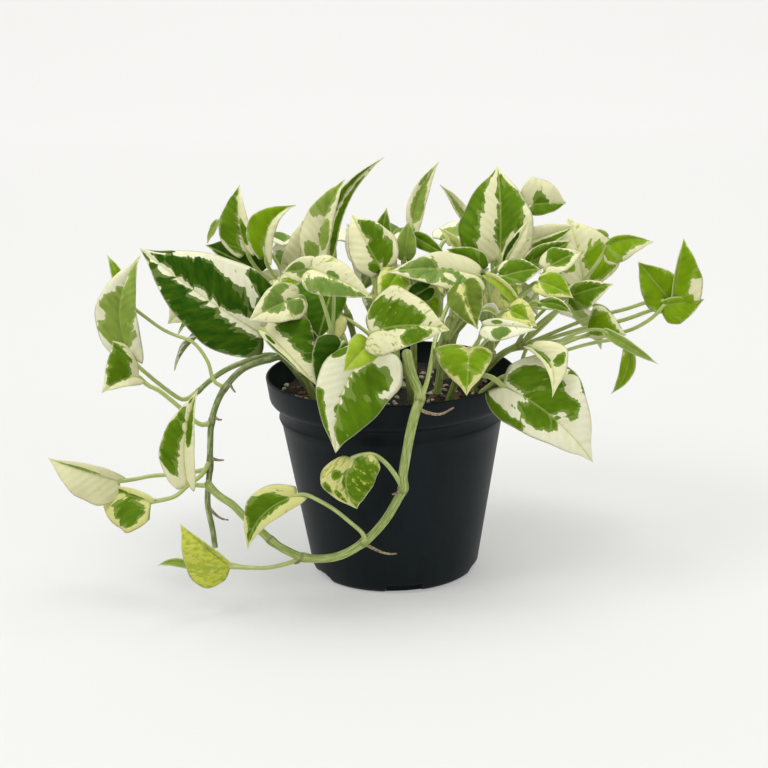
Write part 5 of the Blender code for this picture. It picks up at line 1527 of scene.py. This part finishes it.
# %% What the materials read
def skin_layers(mesh, skins):
    """The colours and places that the stalk material reads, from each tube's (colour, scar, run)."""
    colours, scars, places = [], [], []
    for colour, scar, run in skins:
        colours.append(np.tile(linear(colour), (len(run) * TUBE_SIDES + 2, 1)))
        scars.append(np.concatenate((np.repeat(scar, TUBE_SIDES), scar[[0, -1]])))
        around = np.tile(np.cos(TUBE_ANGLES) + np.sin(TUBE_ANGLES), len(run))
        places.append(np.stack((np.concatenate((around, [0.0, 0.0])),
                                np.concatenate((np.repeat(run, TUBE_SIDES), run[[0, -1]]))), axis=-1))
    put(mesh, "skin_colour", "FLOAT_COLOR", np.concatenate(colours))
    put(mesh, "scar", "FLOAT", np.concatenate(scars))
    put_places(mesh, "skin_place", np.concatenate(places))


def leaf_layers(mesh, looks, paints):
    """The numbers, colours and places that the leaf material reads, for all the blades of a stem."""
    for key in ("green_share", "rib_distance", "rim_distance", "underside", "flecks"):
        put(mesh, key, "FLOAT", np.concatenate([one[key] for one in paints]))
    for key, tone in (("deep_colour", "deep"), ("cream_colour", "pale")):
        tones = [linear(getattr(look, tone)) for look in looks]
        put(mesh, key, "FLOAT_COLOR", np.repeat(tones, BLADE_COUNT, axis=0))
    put_places(mesh, "vein_place", np.concatenate([one["vein_place"] for one in paints]))


# %% Grow
LEAF_SEED = 40
BACK_TONES = ("mid", "mid", "dark", "grey", "bright")


def random_look(draw):
    """The paint of a leaf that the photograph doesn't show: a few green ovals on cream."""
    tone = draw.choice(BACK_TONES)
    green = [(draw.uniform(-0.6, 0.6), draw.uniform(0.1, 0.9), draw.uniform(0.3, 0.6), draw.uniform(0.2, 0.4))
             for _ in range(draw.randint(3, 5))]
    return paint(tone, green)


total = 0
for number, (name, stem) in enumerate(stems.items()):
    line, run, radii = stem_line(stem)
    scar = np.zeros(len(line))
    shapes, skins, blades, looks, paints = [], [], [], [], []
    for order, (row, bow, start) in enumerate(stem["found"]):
        draw = random.Random(LEAF_SEED + 100 * number + order)
        look = LOOKS.get(row.name) or random_look(draw)
        blade, facts = blade_points(row, look, draw)
        blades.append((blade, BLADE_FACES))
        looks.append(look)
        paints.append(blade_paint(look, facts))
        path, thick = petiole(row, start, bow)
        shapes.append(tube(path, thick, leaf_axes(row)[1], groove=STALK_GROOVE))
        skins.append((STALK_SKIN, np.zeros(len(path)), length_along(path)))
        from_node = run - run[np.linalg.norm(line - path[0], axis=1).argmin()]
        radii = radii * (1 + NODE_SWELL * bell(from_node, NODE_REACH))
        scar = np.maximum(scar, SCAR * bell(from_node - SCAR_ABOVE, SCAR_REACH))
    shapes.insert(0, tube(line, radii, np.array((1.0, -1.0, 0.0) if "knots" in stem else (0.0, -1.0, 0.2))))
    skins.insert(0, (VINE_SKINS_WITH_PAINTED_SHADE.get(name, STEM_SKIN), scar, run))

    stalks = surface("stalks_" + name, *joined(shapes), green_skin, slot="leaf")
    skin_layers(stalks.data, skins)
    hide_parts(name)
    leaves = surface("leaves_" + name, *joined(blades), leaf_skin, slot="leaf")
    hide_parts(name)
    leaf_layers(leaves.data, looks, paints)
    total += len(leaves.data.polygons) + len(stalks.data.polygons)
print("grown:", len(stems), "stems,", total, "faces")

# %% [markdown]
# ## Aerial roots
# Where a vine lies or hangs free, its nodes put out short brown roots. The solids leave them out, because
# they are thin and carry nothing. Each is a tapering tube along a few points that the photograph shows.

# %% Roots
ROOTS = (
    ((16, 101, -85), (22, 98, -87), (30, 97, -88), (38, 101, -88)),
    ((-115, 41, -43), (-111, 36, -44), (-107, 33, -45), (-103, 32, -46)),
    ((-99, 122, -34), (-97, 117, -36), (-95, 114, -37)),
    ((-109, 99, -38), (-106, 97, -40), (-104, 97, -41)),
    ((-111, 72, -41), (-107, 71, -43), (-104, 71, -44)),
    ((6, 51, -84), (2, 47, -86), (-1, 46, -87)),
    ((-19, 14, -79), (-10, 9, -82), (-4, 7, -84), (1, 7, -85)),
    ((-57, 7, -78), (-60, 3, -80), (-63, 2, -81)),
    ((-94, 33, -70), (-90, 33, -73), (-87, 35, -75)),
)
ROOT_POINTS = 14
ROOT_BASE = 1.15
ROOT_TIP = 0.45

rooted = []
for points in ROOTS:
    line = smooth_path([seen(*point) for point in points], ROOT_POINTS)
    rooted.append(tube(line, np.linspace(ROOT_BASE, ROOT_TIP, ROOT_POINTS), np.array((0.1, 0.2, 1.0))))
roots = surface("aerial_roots", *joined(rooted), dry_root, slot="leaf")
print("roots:", len(ROOTS), "with", len(roots.data.polygons), "faces")
